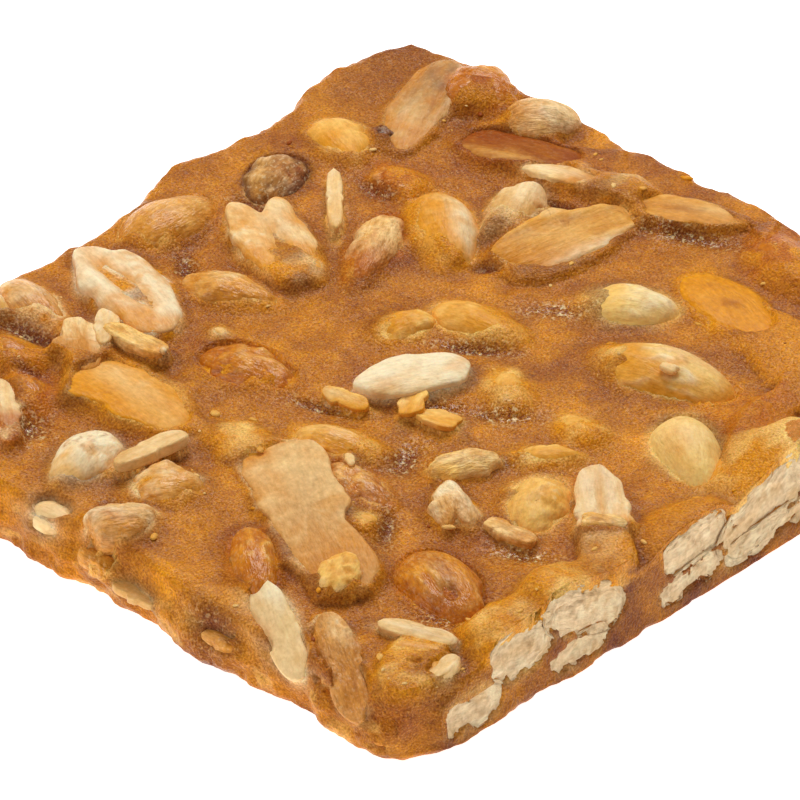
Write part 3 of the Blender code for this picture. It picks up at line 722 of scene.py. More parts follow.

# %% [markdown]
# ## The slab before the nuts
# The plan grid is lifted to the height of the deck, falls in a quarter round at the rough
# rim and more tightly at the cut, and goes on down the sides to the foot. Hollows are
# places where the syrup drew back beside a nut: each is lowered into the caramel, darkened
# as painted shade and frosted with pale specks as painted glints, and each one is placed
# from the middle of its nut.

# %% Hollows and the height of the deck
# The last two numbers of a row are the hollow's share of painted shade and its share of frost: a
# stronger, glossier grain whose pale specks are painted glints.
Hollow = namedtuple("Hollow", "beside east north length width heading depth dark frost")
HOLLOWS = [
    ("kernel_under_film", -7.5, 0, 5.0, 2.6, -40, 0.9, 0.8, 0.8),
    ("half_domed_left", 3.5, -4, 9.0, 2.2, 8, 1.0, 0.9, 0.5),
    ("kernel_front_dark", -2.5, 3, 5.0, 1.6, 10, 0.8, 0.9, 0.3),
    ("half_open", -8, 4.5, 6.0, 2.2, 10, 0.7, 0.6, 0.4),
    ("chunk_golden_left", 11, -5, 5.0, 2.4, 0, 0.7, 0.7, 0.5),
    ("kernel_golden_mid", 3, -4, 8.0, 2.2, 32, 0.8, 0.6, 1.0),
    ("seed_white", 12.5, 2.5, 6.0, 2.6, 40, 0.6, 0.5, 1.0),
    ("seed_white", 6.5, -1, 4.0, 2.4, 40, 0.3, 0.2, 0.9),
    ("kernel_coated_front", -7, 4, 7.0, 1.8, 20, 0.7, 0.4, 0.8),
    ("kernel_coated_front", 7.5, 3.5, 6.0, 3.4, -70, 0.6, 0.8, 0.8),
    ("slice_ragged", 3, -3, 11.0, 2.6, 24, 0.7, 0.8, 0.8),
    ("kernel_red", 7.5, -3.5, 6.0, 2.4, -50, 0.7, 0.9, 0.6),
    ("kernel_tan", 5.5, -8.5, 6.0, 2.6, 30, 0.6, 0.4, 0.9),
    ("kernel_tan", -9, 1.5, 8.0, 1.8, 60, 0.6, 0.7, 0.6),
    ("kernel_ringed", 5, -4, 5.5, 2.2, 30, 0.6, 0.3, 1.0),
    ("chunk_crusted_front", -3, 1, 5.0, 2.4, -40, 0.7, 0.9, 0.4),
    ("kernel_flaked_end", -6, -6.5, 6.0, 2.6, 44, 0.2, 0.2, 1.0),
    ("half_stick_left", 3.5, 0.5, 5.0, 4.0, 0, 0.4, 0.3, 0.9),
    ("chunk_cream", 4, 4.5, 12.0, 1.6, 18, 0.7, 0.9, 0.2),
    ("kernel_crowned", 9.5, -2, 4.0, 1.4, 40, 0.6, 0.8, 0.2),
    ("half_far_left", 7.5, -1, 6.0, 3.6, -60, 0.3, 0.7, 0.1),
    ("half_front_pale", -7.5, -3.5, 8.0, 3.4, 0, 0.5, 1.0, 0.2),
]
HOLLOWS = [Hollow(*row) for row in HOLLOWS]


def deck_height(p):
    """Height of the caramel away from nuts: the deck, slow waves and the hollows."""
    flat = p * np.array([1.0, 1.0, 0.0])
    height = deck - 0.15 + 0.35 * noise(flat, 13.0, 3.0) + 0.14 * lumps(flat, 3.0, 3, 5.0)
    for hollow in HOLLOWS:
        height = height - hollow.depth * mark_share(p, nuts[hollow.beside], hollow)
    return height


# %% The slab's own skin
RIM_ROUND, CUT_ROUND, DEEPEST_FALL = 2.4, 0.7, 3.4
SIDE_ROWS = 22
corners = [ring[k * SIDE] for k in range(4)]
u = eased_steps(SIDE + 1)
closed = np.concatenate([ring, ring[:1]])
front, cut, rear, left = (closed[k * SIDE:(k + 1) * SIDE + 1] for k in range(4))
rear, left = rear[::-1], left[::-1]
U, V = u[None, :, None], u[:, None, None]
plan = ((1 - V) * front[None] + V * rear[None] + (1 - U) * left[:, None] + U * cut[:, None]
        - (1 - U) * (1 - V) * corners[0] - U * (1 - V) * corners[1]
        - U * V * corners[2] - (1 - U) * V * corners[3])
width, length = np.ptp(ring[:, 0]), np.ptp(ring[:, 1])
inset = [width * u[None, :], length * u[:, None],
         length * (1 - u)[:, None], width * (1 - u)[None, :]]


def border(grid):
    """Outer places of a grid, once round from its first corner."""
    return np.concatenate([grid[0, :-1], grid[:-1, -1], grid[-1, :0:-1], grid[:0:-1, 0]])


def quarter_round(inside, radius):
    """Fall from the deck at a distance inside the edge: a quarter circle of that radius."""
    d = np.clip(inside, 0.0, radius)
    return radius - np.sqrt(np.maximum(radius ** 2 - (radius - d) ** 2, 0.0))


fall = sum(quarter_round(d, RIM_ROUND) for d in inset[:3]) + quarter_round(inset[3], CUT_ROUND)
fall = np.minimum(fall, DEEPEST_FALL)
top = np.concatenate([plan, np.zeros((SIDE + 1, SIDE + 1, 1))], -1)
rim_share = ramp(0.0, 0.6, fall) * ramp(0.5, 4.0, inset[3])
top[..., 2] = deck_height(top) - fall + 0.45 * rim_share * lumps(top, 3.2, 3, 15.0)
edge = border(top)
print("deck grid", top.shape[:2], "edge", len(edge), "points, lowest edge",
      round(float(edge[:, 2].min()), 2), "mm")

# %% Down the sides
down = np.linspace(0.0, 1.0, SIDE_ROWS + 1)[1:, None]
bulge = np.interp(down, [0.0, 0.35, 0.75, 0.93, 1.0], [0.0, 0.75, 0.55, 0.0, -0.7])
lean = CUT_LEAN * down - 0.5 * ramp(0.9, 1.0, down)
out = rough * bulge + (1.0 - rough) * lean
side = np.concatenate([edge[None, :, :2] + out[..., None] * outward[None],
                       (edge[:, 2] * (1.0 - down))[..., None]], -1)
wave = 0.95 * lumps(side, 4.2, 5, 11.0) * rough + 0.3 * (1.0 - rough) * lumps(side, 3.6, 4, 13.0)
side[..., :2] += (wave * np.sin(np.pi * np.clip(down * 0.9, 0, 1)))[..., None] * outward[None]
notch = (1.0 - rough) * ramp(0.2, 1.0, down) * (0.5 * lumps(side, 4.0, 4, 14.0) - 0.25)
side[..., :2] += notch[..., None] * outward[None]
print("side rows", side.shape[:2])

# %% [markdown]
# ## Draping the caramel over the nuts
# Every point of the slab's skin is searched along its own outward line. The slab counts
# as the distance along that line and each nut as the distance from its skin, less its
# film. A smooth minimum of the two joins them with a fillet, as syrup climbs a nut; the
# outermost crossing is where the caramel's surface lies. Where a nut's film is negative
# the syrup ran off it, so the surface is then drawn back until the nut stands bare,
# unless it lies deeper than `BURIED` under the slab's own skin.

# %% Search lines
REACH_OUT, STEPS = 6.0, 26
DEEP_IN, DEEP_STEPS = -4.6, 54
FILLET = 2.0
BARE, BURIED = -0.15, 0.9
BURIED_DEEPER = {"half_front_pale": 4.5, "half_front_brown": 4.5, "chunk_front_face": 3.5}
direction = np.zeros_like(top)
direction[..., 2] = 1.0
side_direction = np.zeros_like(side)
side_direction[..., :2] = outward[None]
side_direction[..., 2] = 0.35 * (1.0 - down)
skin_start = np.concatenate([top.reshape(-1, 3), side.reshape(-1, 3)])
skin_line = np.concatenate([direction.reshape(-1, 3), side_direction.reshape(-1, 3)])
skin_line /= np.linalg.norm(skin_line, axis=1)[:, None]
away = np.linspace(REACH_OUT, -0.8, STEPS)
deep = np.linspace(REACH_OUT, DEEP_IN, DEEP_STEPS)
film_place = skin_start + 2.0 * skin_line
print(len(skin_start), "search lines of", STEPS, "steps")


def along_lines(rows, steps):
    """Places at every step along the search lines of some rows."""
    return skin_start[rows, None, :] + steps[None, :, None] * skin_line[rows, None, :]


def smooth_min(a, b, width):
    """The smaller of two, rounded where they differ by less than width: a - h*h*width/4."""
    h = np.clip(1.0 - np.abs(a - b) / width, 0.0, 1.0)
    return np.minimum(a, b) - h * h * width * 0.25


def film_on(nut, look, p, salt):
    """Thickness of caramel over a nut at p: its film, more on the creeping side, patchy."""
    a = math.radians(look.heading)
    toward = (p[..., 0] - nut.middle[0]) * math.cos(a) + (p[..., 1] - nut.middle[1]) * math.sin(a)
    size = np.sqrt(nut.reach.max() * nut.reach.min())
    patch = lumps(p * np.array([1.0, 1.0, 0.3]), 2.6, 3, salt)
    patch = (0.04 if nut.form == "chip" else 0.14) * patch
    return look.film + look.creep * np.clip(toward / size, -1.0, 1.0) + patch


def fillet_width(nut):
    """Width of the fillet: wider on the large slices, narrow on the slivers."""
    if nut.form != "chip":
        return FILLET
    return FILLET * (1.4 if nut.name in nuts else 0.5)


def near(nut, points, margin):
    """Rows of points whose plan distance from a nut is within its reach and a margin."""
    plan_gap = np.hypot(points[:, 0] - nut.middle[0], points[:, 1] - nut.middle[1])
    return np.flatnonzero(plan_gap < nut.reach.max() + margin)


# %% Drape
field = np.repeat(away[None, :], len(skin_start), 0)
everything = ([(nuts[n], LOOKS[n]) for n in sorted(nuts)]
              + [(b, BIT_LOOKS[b.name]) for b in bits])
for salt, (nut, look) in enumerate(everything):
    rows = near(nut, skin_start, 5.0)
    film = film_on(nut, look, film_place[rows], salt)
    gap = distance_from(nut, along_lines(rows, away)) - film[:, None]
    field[rows] = smooth_min(field[rows], gap, fillet_width(nut))
inside = field <= 0.0
inside[:, -1] = True
first = np.maximum(inside.argmax(1), 1)
row = np.arange(len(field))
f0, f1 = field[row, first - 1], field[row, first]
share = np.clip(f0 / np.maximum(f0 - f1, 1e-6), 0.0, 1.0)
height = away[first - 1] + share * (away[first] - away[first - 1])

# %% Draw the caramel back where a nut stands bare
for salt, (nut, look) in enumerate(everything):
    if look.film > BARE:
        continue
    rows = near(nut, skin_start, 1.0)
    gap = distance_from(nut, along_lines(rows, deep))
    nut_height = deep[(gap < 0.0).argmax(1)]
    film = film_on(nut, look, film_place[rows], salt)
    clear = ramp(-0.05, -0.9, gap.min(1)) * ramp(0.0, -0.12, film)
    clear = clear * (nut_height > -BURIED_DEEPER.get(nut.name, BURIED))
    drop = height[rows] - (nut_height + np.minimum(film, -0.2))
    height[rows] -= clear * np.maximum(drop, 0.0)
skin = skin_start + height[:, None] * skin_line
print("the nuts lift the caramel by up to", round(float(height.max()), 2), "mm")

# %% Uncover the sawn faces, then close the underside
RAISED, CUT_SIDE = 0.2, 30.0
tallest = cad_high.z / MM + RAISED
sawn = [nut for nut in nuts.values() if nut.form == "cut"]
ahead = (skin - cut_at) @ cut_normal
recess = np.zeros(len(skin))
for nut in sawn:
    rows = near(nut, skin, 2.0)
    rows = rows[ahead[rows] > -1.2]
    on_plane = skin[rows] - np.maximum(ahead[rows], 0.0)[:, None] * cut_normal
    crown = ramp(2.0, 0.3, nut.middle[2] + nut.top - on_plane[:, 2])
    ragged = distance_from(nut, on_plane) + 0.3 + 0.9 * crown + 0.8 * lumps(on_plane, 1.9, 3, 51.0)
    recess[rows] = np.maximum(recess[rows], 0.5 * ramp(0.0, -0.3, ragged))
limit = 0.12 - recess + 0.05 * lumps(skin, 1.1, 2, 17.0)
over = np.maximum(ahead - limit, 0.0) * (skin[:, 0] > CUT_SIDE)
skin -= over[:, None] * cut_normal
skin[:, 2] = np.clip(skin[:, 2], 0.0, tallest)
middle = np.array([*ring.mean(0), 0.0])
foot = skin[-len(edge):]
under = np.stack([middle + (foot - middle) * share for share in (0.985, 0.9, 0.7, 0.4)])
under[..., 2] = 0.0
print("sawn faces uncovered by up to", round(float(recess.max()), 2), "mm;",
      len(under), "rings under the foot")

# %% [markdown]
# ## What shows through the caramel
# Thin caramel takes the colour of the nut beneath and thick caramel hides it, so each
# point of the skin remembers the tone of the nearest nut and how much of it shows: light
# is lost by the same share for every further part of a millimetre.

# %% What shows through
SHOW_DEPTH = 0.95
show = np.zeros(len(skin))
under_tone = np.tile(TONE["amber"], (len(skin), 1))
# For every point of the skin: its share of painted shade and darker tone, and its share of frost.
dark, frost = np.zeros(len(skin)), np.zeros(len(skin))
for salt, (nut, look) in enumerate(everything):
    rows = near(nut, skin, 4.0)
    film = np.maximum(distance_from(nut, skin[rows]), 0.0)
    depth = SHOW_DEPTH if look.film > BARE else 0.55 * SHOW_DEPTH
    seen = np.exp(-film / (depth * (1.0 + 0.4 * lumps(skin[rows], 3.0, 2, salt))))
    # Painted contact shade: caramel close round the foot of a bare nut is darkened in patches.
    contact_shade = ramp(2.2, 0.5, film) * ramp(-0.3, 0.6, lumps(skin[rows], 5.0, 3, 33.0 + salt))
    dark[rows] = np.maximum(dark[rows], 0.55 * contact_shade * (look.film < BARE))
    keep = seen > show[rows]
    show[rows[keep]] = seen[keep]
    blotch = ramp(-0.5, 0.6, lumps(skin[rows[keep]], 2.2, 3, 40.0 + salt))
    under_tone[rows[keep]] = mix(TONE[look.low], TONE[look.tone], blotch * seen[keep])

# %% [markdown]
# ## Painted shade, dark places and frost
# The hollows, the broken sides and the foot of the cut are darkened as painted shade, the
# far corner is darker in patches, and the hollows are frosted, with pale specks as painted
# glints. The sides also carry pale crusts of nut. A crest is how far the skin stands over
# its own blurred height.

# %% Painted shade, dark places, frost and crust
GRID_SPACING, CREST_BLUR = 0.39, 1.7
spacing = np.arange(SIDE + 1) * GRID_SPACING
blur = np.exp(-0.5 * ((spacing[:, None] - spacing[None, :]) / CREST_BLUR) ** 2)
blur /= blur.sum(1)[:, None]
top_height = skin[:(SIDE + 1) ** 2, 2].reshape(SIDE + 1, SIDE + 1)
crest = np.zeros(len(skin))
inner = ramp(0.6, 0.0, fall)
crest[:(SIDE + 1) ** 2] = ((top_height - blur @ top_height @ blur.T) * inner).ravel()
# Hollows: darkened as painted shade, and frosted.
for hollow in HOLLOWS:
    share = mark_share(skin, nuts[hollow.beside], hollow)
    dark = np.maximum(dark, hollow.dark * share)
    frost = np.maximum(frost, hollow.frost * share ** 0.7)
# Darker in patches towards the far corner.
far = ramp(-10.0, -46.0, skin[:, 0]) * ramp(15.0, 50.0, skin[:, 1])
dark = np.maximum(dark, 0.6 * far * ramp(-0.8, 0.3, lumps(skin, 9.0, 3, 21.0)))
# The rough sides below the deck: darkened in streaks as painted shade.
on_side = ramp(deck - 0.8, deck - 2.6, skin[:, 2]) * (skin[:, 0] < 42.0)
streak = lumps(skin * np.array([0.45, 0.45, 1.0]), 3.4, 4, 23.0)
dark = np.maximum(dark, 0.55 * on_side * ramp(-0.1, 0.8, streak))
# Caramel on the cut face below the deck: darkened as painted shade.
on_cut = ramp(2.0, 0.6, np.abs((skin - cut_at) @ cut_normal)) * ramp(deck, deck - 1.6, skin[:, 2])
dark = np.maximum(dark, on_cut * (0.6 + 0.4 * lumps(skin, 3.0, 3, 27.0)))
crust = on_side * ramp(0.25, 0.7, lumps(skin * np.array([0.6, 0.6, 1.0]), 2.4, 4, 25.0))
under_tone = mix(under_tone, TONE["straw"], crust)
show = np.maximum(show, 0.6 * crust)
print(f"nuts show through {100 * float((show > 0.3).mean()):.0f} % of the skin")


# %% [markdown]
# ## From grids to meshes
# Every piece is a stack of rings closed by a point at each end. The rings give four-sided
# faces, the end points give fans of triangles, and the sign of the volume says whether
# the faces look outwards; if they don't, they are all turned round.

# %% Mesh from rings
def ring_faces(rings, around):
    """Quads between neighbouring rings, and a fan from the first and last ring to a point."""
    j = np.arange(around)
    k = (j + 1) % around
    base = np.arange(rings - 1)[:, None] * around
    quads = np.stack([base + j, base + k, base + around + k, base + around + j], -1)
    last = (rings - 1) * around
    head, tail = rings * around, rings * around + 1
    caps = np.concatenate([np.stack([np.full(around, head), k, j], -1),
                           np.stack([np.full(around, tail), last + j, last + k], -1)])
    return quads.reshape(-1, 4), caps


def signed_volume(points, triangles):
    """Six times the volume, positive when the triangles look outwards."""
    a, b, c = (points[triangles[:, k]] for k in range(3))
    return float(np.einsum("ni,ni->n", a, np.cross(b, c)).sum())


def add_mesh(name, points, quads, triangles, attributes):
    """Object at the origin with its place in its mesh, in metres, and point attributes."""
    both = np.concatenate([triangles, quads[:, [0, 1, 2]], quads[:, [0, 2, 3]]])
    if signed_volume(points - points.mean(0), both) < 0.0:
        quads, triangles = quads[:, ::-1], triangles[:, ::-1]
    mesh = bpy.data.meshes.new(name)
    mesh.vertices.add(len(points))
    mesh.vertices.foreach_set("co", (points * MM).astype(np.float32).ravel())
    loops = np.concatenate([quads.ravel(), triangles.ravel()]).astype(np.int32)
    starts = np.concatenate([np.arange(len(quads)) * 4,
                             len(quads) * 4 + np.arange(len(triangles)) * 3]).astype(np.int32)
    mesh.loops.add(len(loops))
    mesh.loops.foreach_set("vertex_index", loops)
    mesh.polygons.add(len(starts))
    mesh.polygons.foreach_set("loop_start", starts)
    mesh.update(calc_edges=True)
    mesh.shade_smooth()
    for key, values in attributes.items():
        kind, field = "FLOAT", "value"
        if key == "lengthwise":
            kind, field = "FLOAT_VECTOR", "vector"
        elif values.ndim > 1:
            kind, field = "FLOAT_COLOR", "color"
            values = np.concatenate([np.clip(values, 0, 1), np.ones((len(values), 1))], -1)
        layer = mesh.attributes.new(key, kind, "POINT")
        layer.data.foreach_set(field, values.astype(np.float32).ravel())
    made = bpy.data.objects.new(name, mesh)
    bpy.context.scene.collection.objects.link(made)
    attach(made, "root")
    return made


# %% The caramel
count = SIDE + 1
index = np.arange(count * count).reshape(count, count)
top_quads = np.stack([index[:-1, :-1], index[:-1, 1:], index[1:, 1:], index[1:, :-1]], -1)
around = len(edge)
lower = count * count + np.arange((SIDE_ROWS + len(under)) * around).reshape(-1, around)
rows = np.concatenate([border(index)[None], lower])
rows_next = np.roll(rows, -1, 1)
side_quads = np.stack([rows[:-1], rows[1:], rows_next[1:], rows_next[:-1]], -1)
centre_index = count * count + lower.size
fan = np.stack([rows[-1], np.full(around, centre_index), rows_next[-1]], -1)
quads = np.concatenate([top_quads.reshape(-1, 4), side_quads.reshape(-1, 4)])
caramel_points = np.concatenate([skin, under.reshape(-1, 3), middle[None]])
spare = len(caramel_points) - len(skin)
shades = {"under": np.concatenate([under_tone, np.tile(TONE["amber"], (spare, 1))])}
for key, values in (("show", show), ("dark", dark), ("crest", crest), ("frost", frost)):
    shades[key] = np.concatenate([values, np.zeros(spare)])
caramel = add_mesh("caramel_body", caramel_points, quads, fan, shades)
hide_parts("caramel")
print("caramel:", 2 * len(quads) + len(fan), "triangles")


# %% [markdown]
# ## The skins of the nuts
# A roasted peanut is smooth where the skin came off cleanly, veined where the papery
# lines stayed, and crusted or flaky where syrup and skin dried on it. Each skin is a
# small height over the smooth form, and the same height says where the nut is pale on its
# crests and where it is darker in its creases; the darker creases are painted shade.

# %% Skin relief
def ridges(p, size, salt):
    """Sharp crests where noise passes through zero: one minus its size, squared."""
    return (1.0 - np.abs(lumps(p, size, 2, salt))) ** 2


def skin_relief(kind, local, salt):
    """Height in millimetres and paleness in -1..1 of a nut's skin at local places; below zero the
    paleness darkens the creases as painted shade.
    """
    long_way = local * np.array([0.35, 1.0, 1.0])
    soft = lumps(local, 4.5, 2, salt)
    fine = lumps(local, 0.9, 2, salt + 1.0)
    if kind == "fibrous":
        fibre = lumps(local * np.array([0.16, 1.0, 0.6]), 0.8, 3, salt)
        return 0.10 * soft + 0.10 * fibre, 0.7 * fibre + 0.2 * soft
    if kind == "veined":
        vein = ridges(long_way, 1.9, salt)
        patch = ramp(-0.3, 0.5, lumps(local, 4.0, 2, salt + 5.0))
        return 0.10 * soft + 0.24 * vein * patch, (1.6 * vein - 0.7) * patch + 0.2 * fine
    if kind == "crusted":
        crumb = lumps(local, 1.5, 3, salt)
        knob = lumps(local, 3.0, 2, salt + 4.0)
        return 0.28 * knob + 0.24 * crumb, 0.7 * crumb + 0.5 * fine
    if kind == "flaky":
        flake = lumps(long_way, 2.4, 3, salt)
        plate = np.floor(flake * 3.0) / 3.0 + 0.5 * ramp(0.0, 0.25, flake * 3.0 % 1.0)
        knob = lumps(local, 3.0, 2, salt + 4.0)
        return 0.26 * knob + 0.26 * plate, 1.0 * plate + 0.5 * fine
    dimple = lumps(local, 2.2, 2, salt + 6.0)
    if kind == "glazed":
        return 0.12 * soft + 0.05 * dimple, 0.12 * soft + 0.1 * dimple
    return 0.14 * soft + 0.05 * dimple + 0.03 * fine, 0.35 * soft + 0.3 * dimple + 0.3 * fine


# %% The surface of one nut
def nut_surface(nut, look, salt, rings, around, marks=()):
    """Points of a nut as rings from its top to its bottom, with their local place and paleness.

    With A the angle from the top and n the power, the plan share is sin A to the 2/n and
    the height share cos A to the 2/n; both are scaled by the measured reach and height.
    """
    a = np.linspace(0.0, np.pi, rings + 2)[:, None]
    turn = np.linspace(0.0, 2.0 * np.pi, around, endpoint=False)[None, :]
    n = nut.power
    r = np.abs(np.sin(a)) ** (2.0 / n)
    s = np.sign(np.cos(a)) * np.abs(np.cos(a)) ** (2.0 / n)
    reach = reach_at(nut, turn)
    height = np.where(s > 0.0, nut.top - nut.rim, nut.rim - nut.bottom)
    local = np.stack([r * reach * np.cos(turn), r * reach * np.sin(turn),
                      s * height + nut.rim + 0.0 * turn], -1)
    normal = np.stack([r ** (n - 1) / reach * np.cos(turn), r ** (n - 1) / reach * np.sin(turn),
                       np.sign(s) * np.abs(s) ** (n - 1) / height + 0.0 * turn], -1)
    normal /= np.linalg.norm(normal, axis=-1)[..., None]
    relief, pale = skin_relief(look.skin, local, salt)
    scale = min(1.0, (nut.top - nut.bottom) / 3.0)
    local = local + (relief * scale)[..., None] * normal
    local[..., 2] += bow_terms(local) @ nut.bow
    p = nut.middle + local @ nut.axes
    upper = np.maximum(s, 0.0) ** 0.5 + 0.0 * turn
    for mark in marks:
        p = p + (mark.rise * mark_share(p, nut, mark) * upper * scale)[..., None] * nut.axes[2]
    return p, local, pale


PALER = {"straw": "cream", "butter": "cream", "gold": "butter", "honey": "straw", "tan": "oat",
         "toffee": "tan", "ash": "oat", "umber": "ash"}


def nut_tones(nut, look, p, pale, film, salt, marks=()):
    """Tone of a nut's skin: paler on its crests, darker in its creases as painted shade, soaked
    towards its foot and its film.
    """
    above_deck = p[..., 2] - deck_height(p)
    foot_line = 2.3 if look.skin in ("glazed", "veined") else 1.6
    soak = ramp(foot_line, -0.1, above_deck + 0.6 * lumps(p, 2.0, 2, salt + 3.0))
    soak = np.maximum(soak, ramp(-0.4, -0.05, film))
    paler = TONE[PALER.get(look.tone, "ivory")]
    tone = mix(TONE[look.tone], paler, np.clip(0.9 * pale, 0.0, 0.85))
    # Below zero the paleness takes the skin towards its low tone: painted shade in the creases.
    tone = mix(tone, TONE[look.low], np.clip(-0.9 * pale, 0.0, 0.8))
    stain = ramp(0.05, 0.75, lumps(p, 2.8, 3, salt + 12.0))
    tone = mix(tone, TONE["gold"] if look.low != "tan" else TONE["tan"], 0.5 * stain)
    vein = ramp(0.09, 0.0, np.abs(lumps(p, 3.2, 3, salt + 15.0)))
    vein = vein * ramp(-0.2, 0.5, pale + 0.4 * stain)
    tone = mix(tone, TONE["toffee"], (0.2 if look.skin in ("smooth", "glazed") else 0.5) * vein)
    fleck = ramp(0.55, 0.8, lumps(p, 0.8, 2, salt + 18.0))
    fleck = fleck * ramp(-0.2, 0.3, noise(p, 3.5, salt + 19.0))
    tone = mix(tone, paler, (0.15 if look.skin == "glazed" else 0.6) * fleck)
    for mark in marks:
        patchy = 1.0 + 0.5 * lumps(p, 1.4, 2, salt + 9.0)
        strength = np.clip(mark.share * mark_share(p, nut, mark) ** 0.6 * patchy, 0.0, 1.0)
        tone = mix(tone, TONE[mark.tone], strength)
    tone = mix(tone, TONE[look.low], 0.8 * soak)
    return tone, soak


def close_rings(grid, closed_values):
    """Rings without the two collapsed ones, then their middle points, for each value."""
    return [np.concatenate([v[1:-1].reshape(-1, *v.shape[2:]), v[:1].mean(1), v[-1:].mean(1)])
            for v in (grid, *closed_values)]


def saw(p, tone, soak, salt):
    """Cut a nut off at the knife's plane and give the face its grain, cracks and tones."""
    ahead = (p - cut_at) @ cut_normal
    grain = lumps(p, 0.7, 3, 60.0 + salt)
    crack = ramp(0.05, 0.0, np.abs(noise(p * np.array([1.0, 1.0, 1.6]), 6.5, 80.0 + salt)
                                   + 0.25 * lumps(p, 1.6, 2, 81.0 + salt)))
    crack = crack * ramp(-0.1, 0.4, noise(p, 3.0, 82.0 + salt))
    chipped = 0.2 * ramp(-0.1, 0.15, noise(p, 2.6, 83.0 + salt))
    over = np.maximum(ahead + 0.02 + chipped - 0.1 * grain + 0.45 * crack, 0.0)
    p = p - over[..., None] * cut_normal
    on_face = ramp(0.0, 0.05, over)
    face = mix(TONE["oat"], TONE["ash"], 0.12 + 0.4 * ramp(0.0, 1.0, grain))
    face = mix(face, TONE["tan"], 0.25 * ramp(0.0, 0.6, noise(p, 2.6, 83.0 + salt)))
    face = mix(face, TONE["ivory"], 0.5 * ramp(0.1, 0.6, lumps(p, 1.5, 2, 84.0 + salt)))
    face = mix(face, TONE["toffee"], 0.8 * crack)
    return p, mix(tone, face, on_face), soak * (1.0 - on_face)


# %% Make every nut
AROUND_STEP, LEAST_AROUND, MOST_AROUND = 0.28, 72, 170
RING_STEP, LEAST_RINGS, MOST_RINGS = 0.30, 26, 60
made_nuts = {}
for salt, name in enumerate(sorted(nuts)):
    nut, look = nuts[name], LOOKS[name]
    across = 2.0 * nut.reach.mean()
    around = int(np.clip(np.pi * across / AROUND_STEP, LEAST_AROUND, MOST_AROUND))
    rings = int(np.clip(across / RING_STEP, LEAST_RINGS, MOST_RINGS))
    marks = MARKS.get(name, ())
    p, local, pale = nut_surface(nut, look, 3.7 * salt, rings, around, marks)
    tone, soak = nut_tones(nut, look, p, pale, film_on(nut, look, p, salt), salt, marks)
    if nut.form == "cut":
        p, tone, soak = saw(p, tone, soak, salt)
    p[..., 2] = np.clip(p[..., 2], 0.1, tallest)
    p, tone, soak, local = close_rings(p, (tone, soak, local))
    quads, caps = ring_faces(rings, around)
    made = add_mesh(name + "_nut", p, quads, caps,
                    {"shade": tone, "soak": soak, "lengthwise": local})
    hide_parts(name)
    made_nuts[name] = made
print(len(made_nuts), "nuts of", sum(len(o.data.polygons) for o in made_nuts.values()), "faces")

# %% Make the small bits, one piece for each kind
BIT_RINGS, BIT_AROUND = 18, 48
made_bits = {}
for kind in sorted(BIT_LOOKS):
    look = BIT_LOOKS[kind]
    parts, faces, fans, start = [], [], [], 0
    for salt, (bit, form) in enumerate(zip(BITS, bits)):
        if bit.kind != kind:
            continue
        p, local, pale = nut_surface(form, look, 90.0 + 3.1 * salt, BIT_RINGS, BIT_AROUND)
        film = film_on(form, look, p, len(nuts) + salt)
        tone, soak = nut_tones(form, look, p, pale, film, 90.0 + salt)
        parts.append(close_rings(p, (tone, soak, local)))
        quads, caps = ring_faces(BIT_RINGS, BIT_AROUND)
        faces.append(quads + start)
        fans.append(caps + start)
        start += len(parts[-1][0])
    p, tone, soak, local = (np.concatenate(v) for v in zip(*parts))
    made = add_mesh(kind, p, np.concatenate(faces), np.concatenate(fans),
                    {"shade": tone, "soak": soak, "lengthwise": local})
    made_bits[kind] = made
print(len(made_bits), "kinds of bits")

# %% [markdown]
# ## Flakes
# Breaking and stirring leaves flakes of nut and skin, half a millimetre to two across,
# mostly close to the nuts. They are scattered over the deck where the nuts show through a
# little, each as a low oval dome with few faces, and all of them make one piece.

# %% Scatter the flakes
FLAKES, FLAKE_RINGS, FLAKE_AROUND = 110, 4, 9
random = np.random.default_rng(11)
deck_rows = np.arange((SIDE + 1) ** 2)
chance = np.where((show[deck_rows] > 0.12) & (show[deck_rows] < 0.75), 1.0, 0.12)
chance = chance * (fall.ravel() < 0.05)
rows = random.choice(deck_rows, FLAKES, replace=False, p=chance / chance.sum())
size = 0.2 + 0.7 * random.random(FLAKES) ** 2.5
heading = random.random(FLAKES) * 2.0 * np.pi
a = np.linspace(0.0, np.pi, FLAKE_RINGS + 2)[None, :, None]
turn = np.linspace(0.0, 2.0 * np.pi, FLAKE_AROUND, endpoint=False)[None, None, :]
broken = 1.0 + 0.3 * (random.random((FLAKES, 1, FLAKE_AROUND)) - 0.5)
x = size[:, None, None] * np.sin(a) * np.cos(turn) * broken
y = 0.6 * size[:, None, None] * np.sin(a) * np.sin(turn) * broken
z = 0.3 * size[:, None, None] * np.cos(a) + 0.0 * turn
c, d = np.cos(heading)[:, None, None], np.sin(heading)[:, None, None]
flake = np.stack([c * x - d * y, d * x + c * y, z], -1) + skin[rows][:, None, None, :]
flake[..., 2] = np.minimum(flake[..., 2], tallest)
flake_points = np.concatenate([flake[:, 1:-1].reshape(FLAKES, -1, 3), flake[:, :1].mean(2),
                               flake[:, -1:].mean(2)], 1)
quads, caps = ring_faces(FLAKE_RINGS, FLAKE_AROUND)
offset = (np.arange(FLAKES) * flake_points.shape[1])[:, None, None]
pick = np.repeat(random.random(FLAKES), flake_points.shape[1])
tone = mix(TONE["gold"], TONE["straw"], ramp(0.0, 0.4, pick))
tone = mix(tone, TONE["cream"], 0.6 * ramp(0.5, 0.8, pick))
tone = mix(tone, TONE["rust"], ramp(0.9, 0.92, pick))
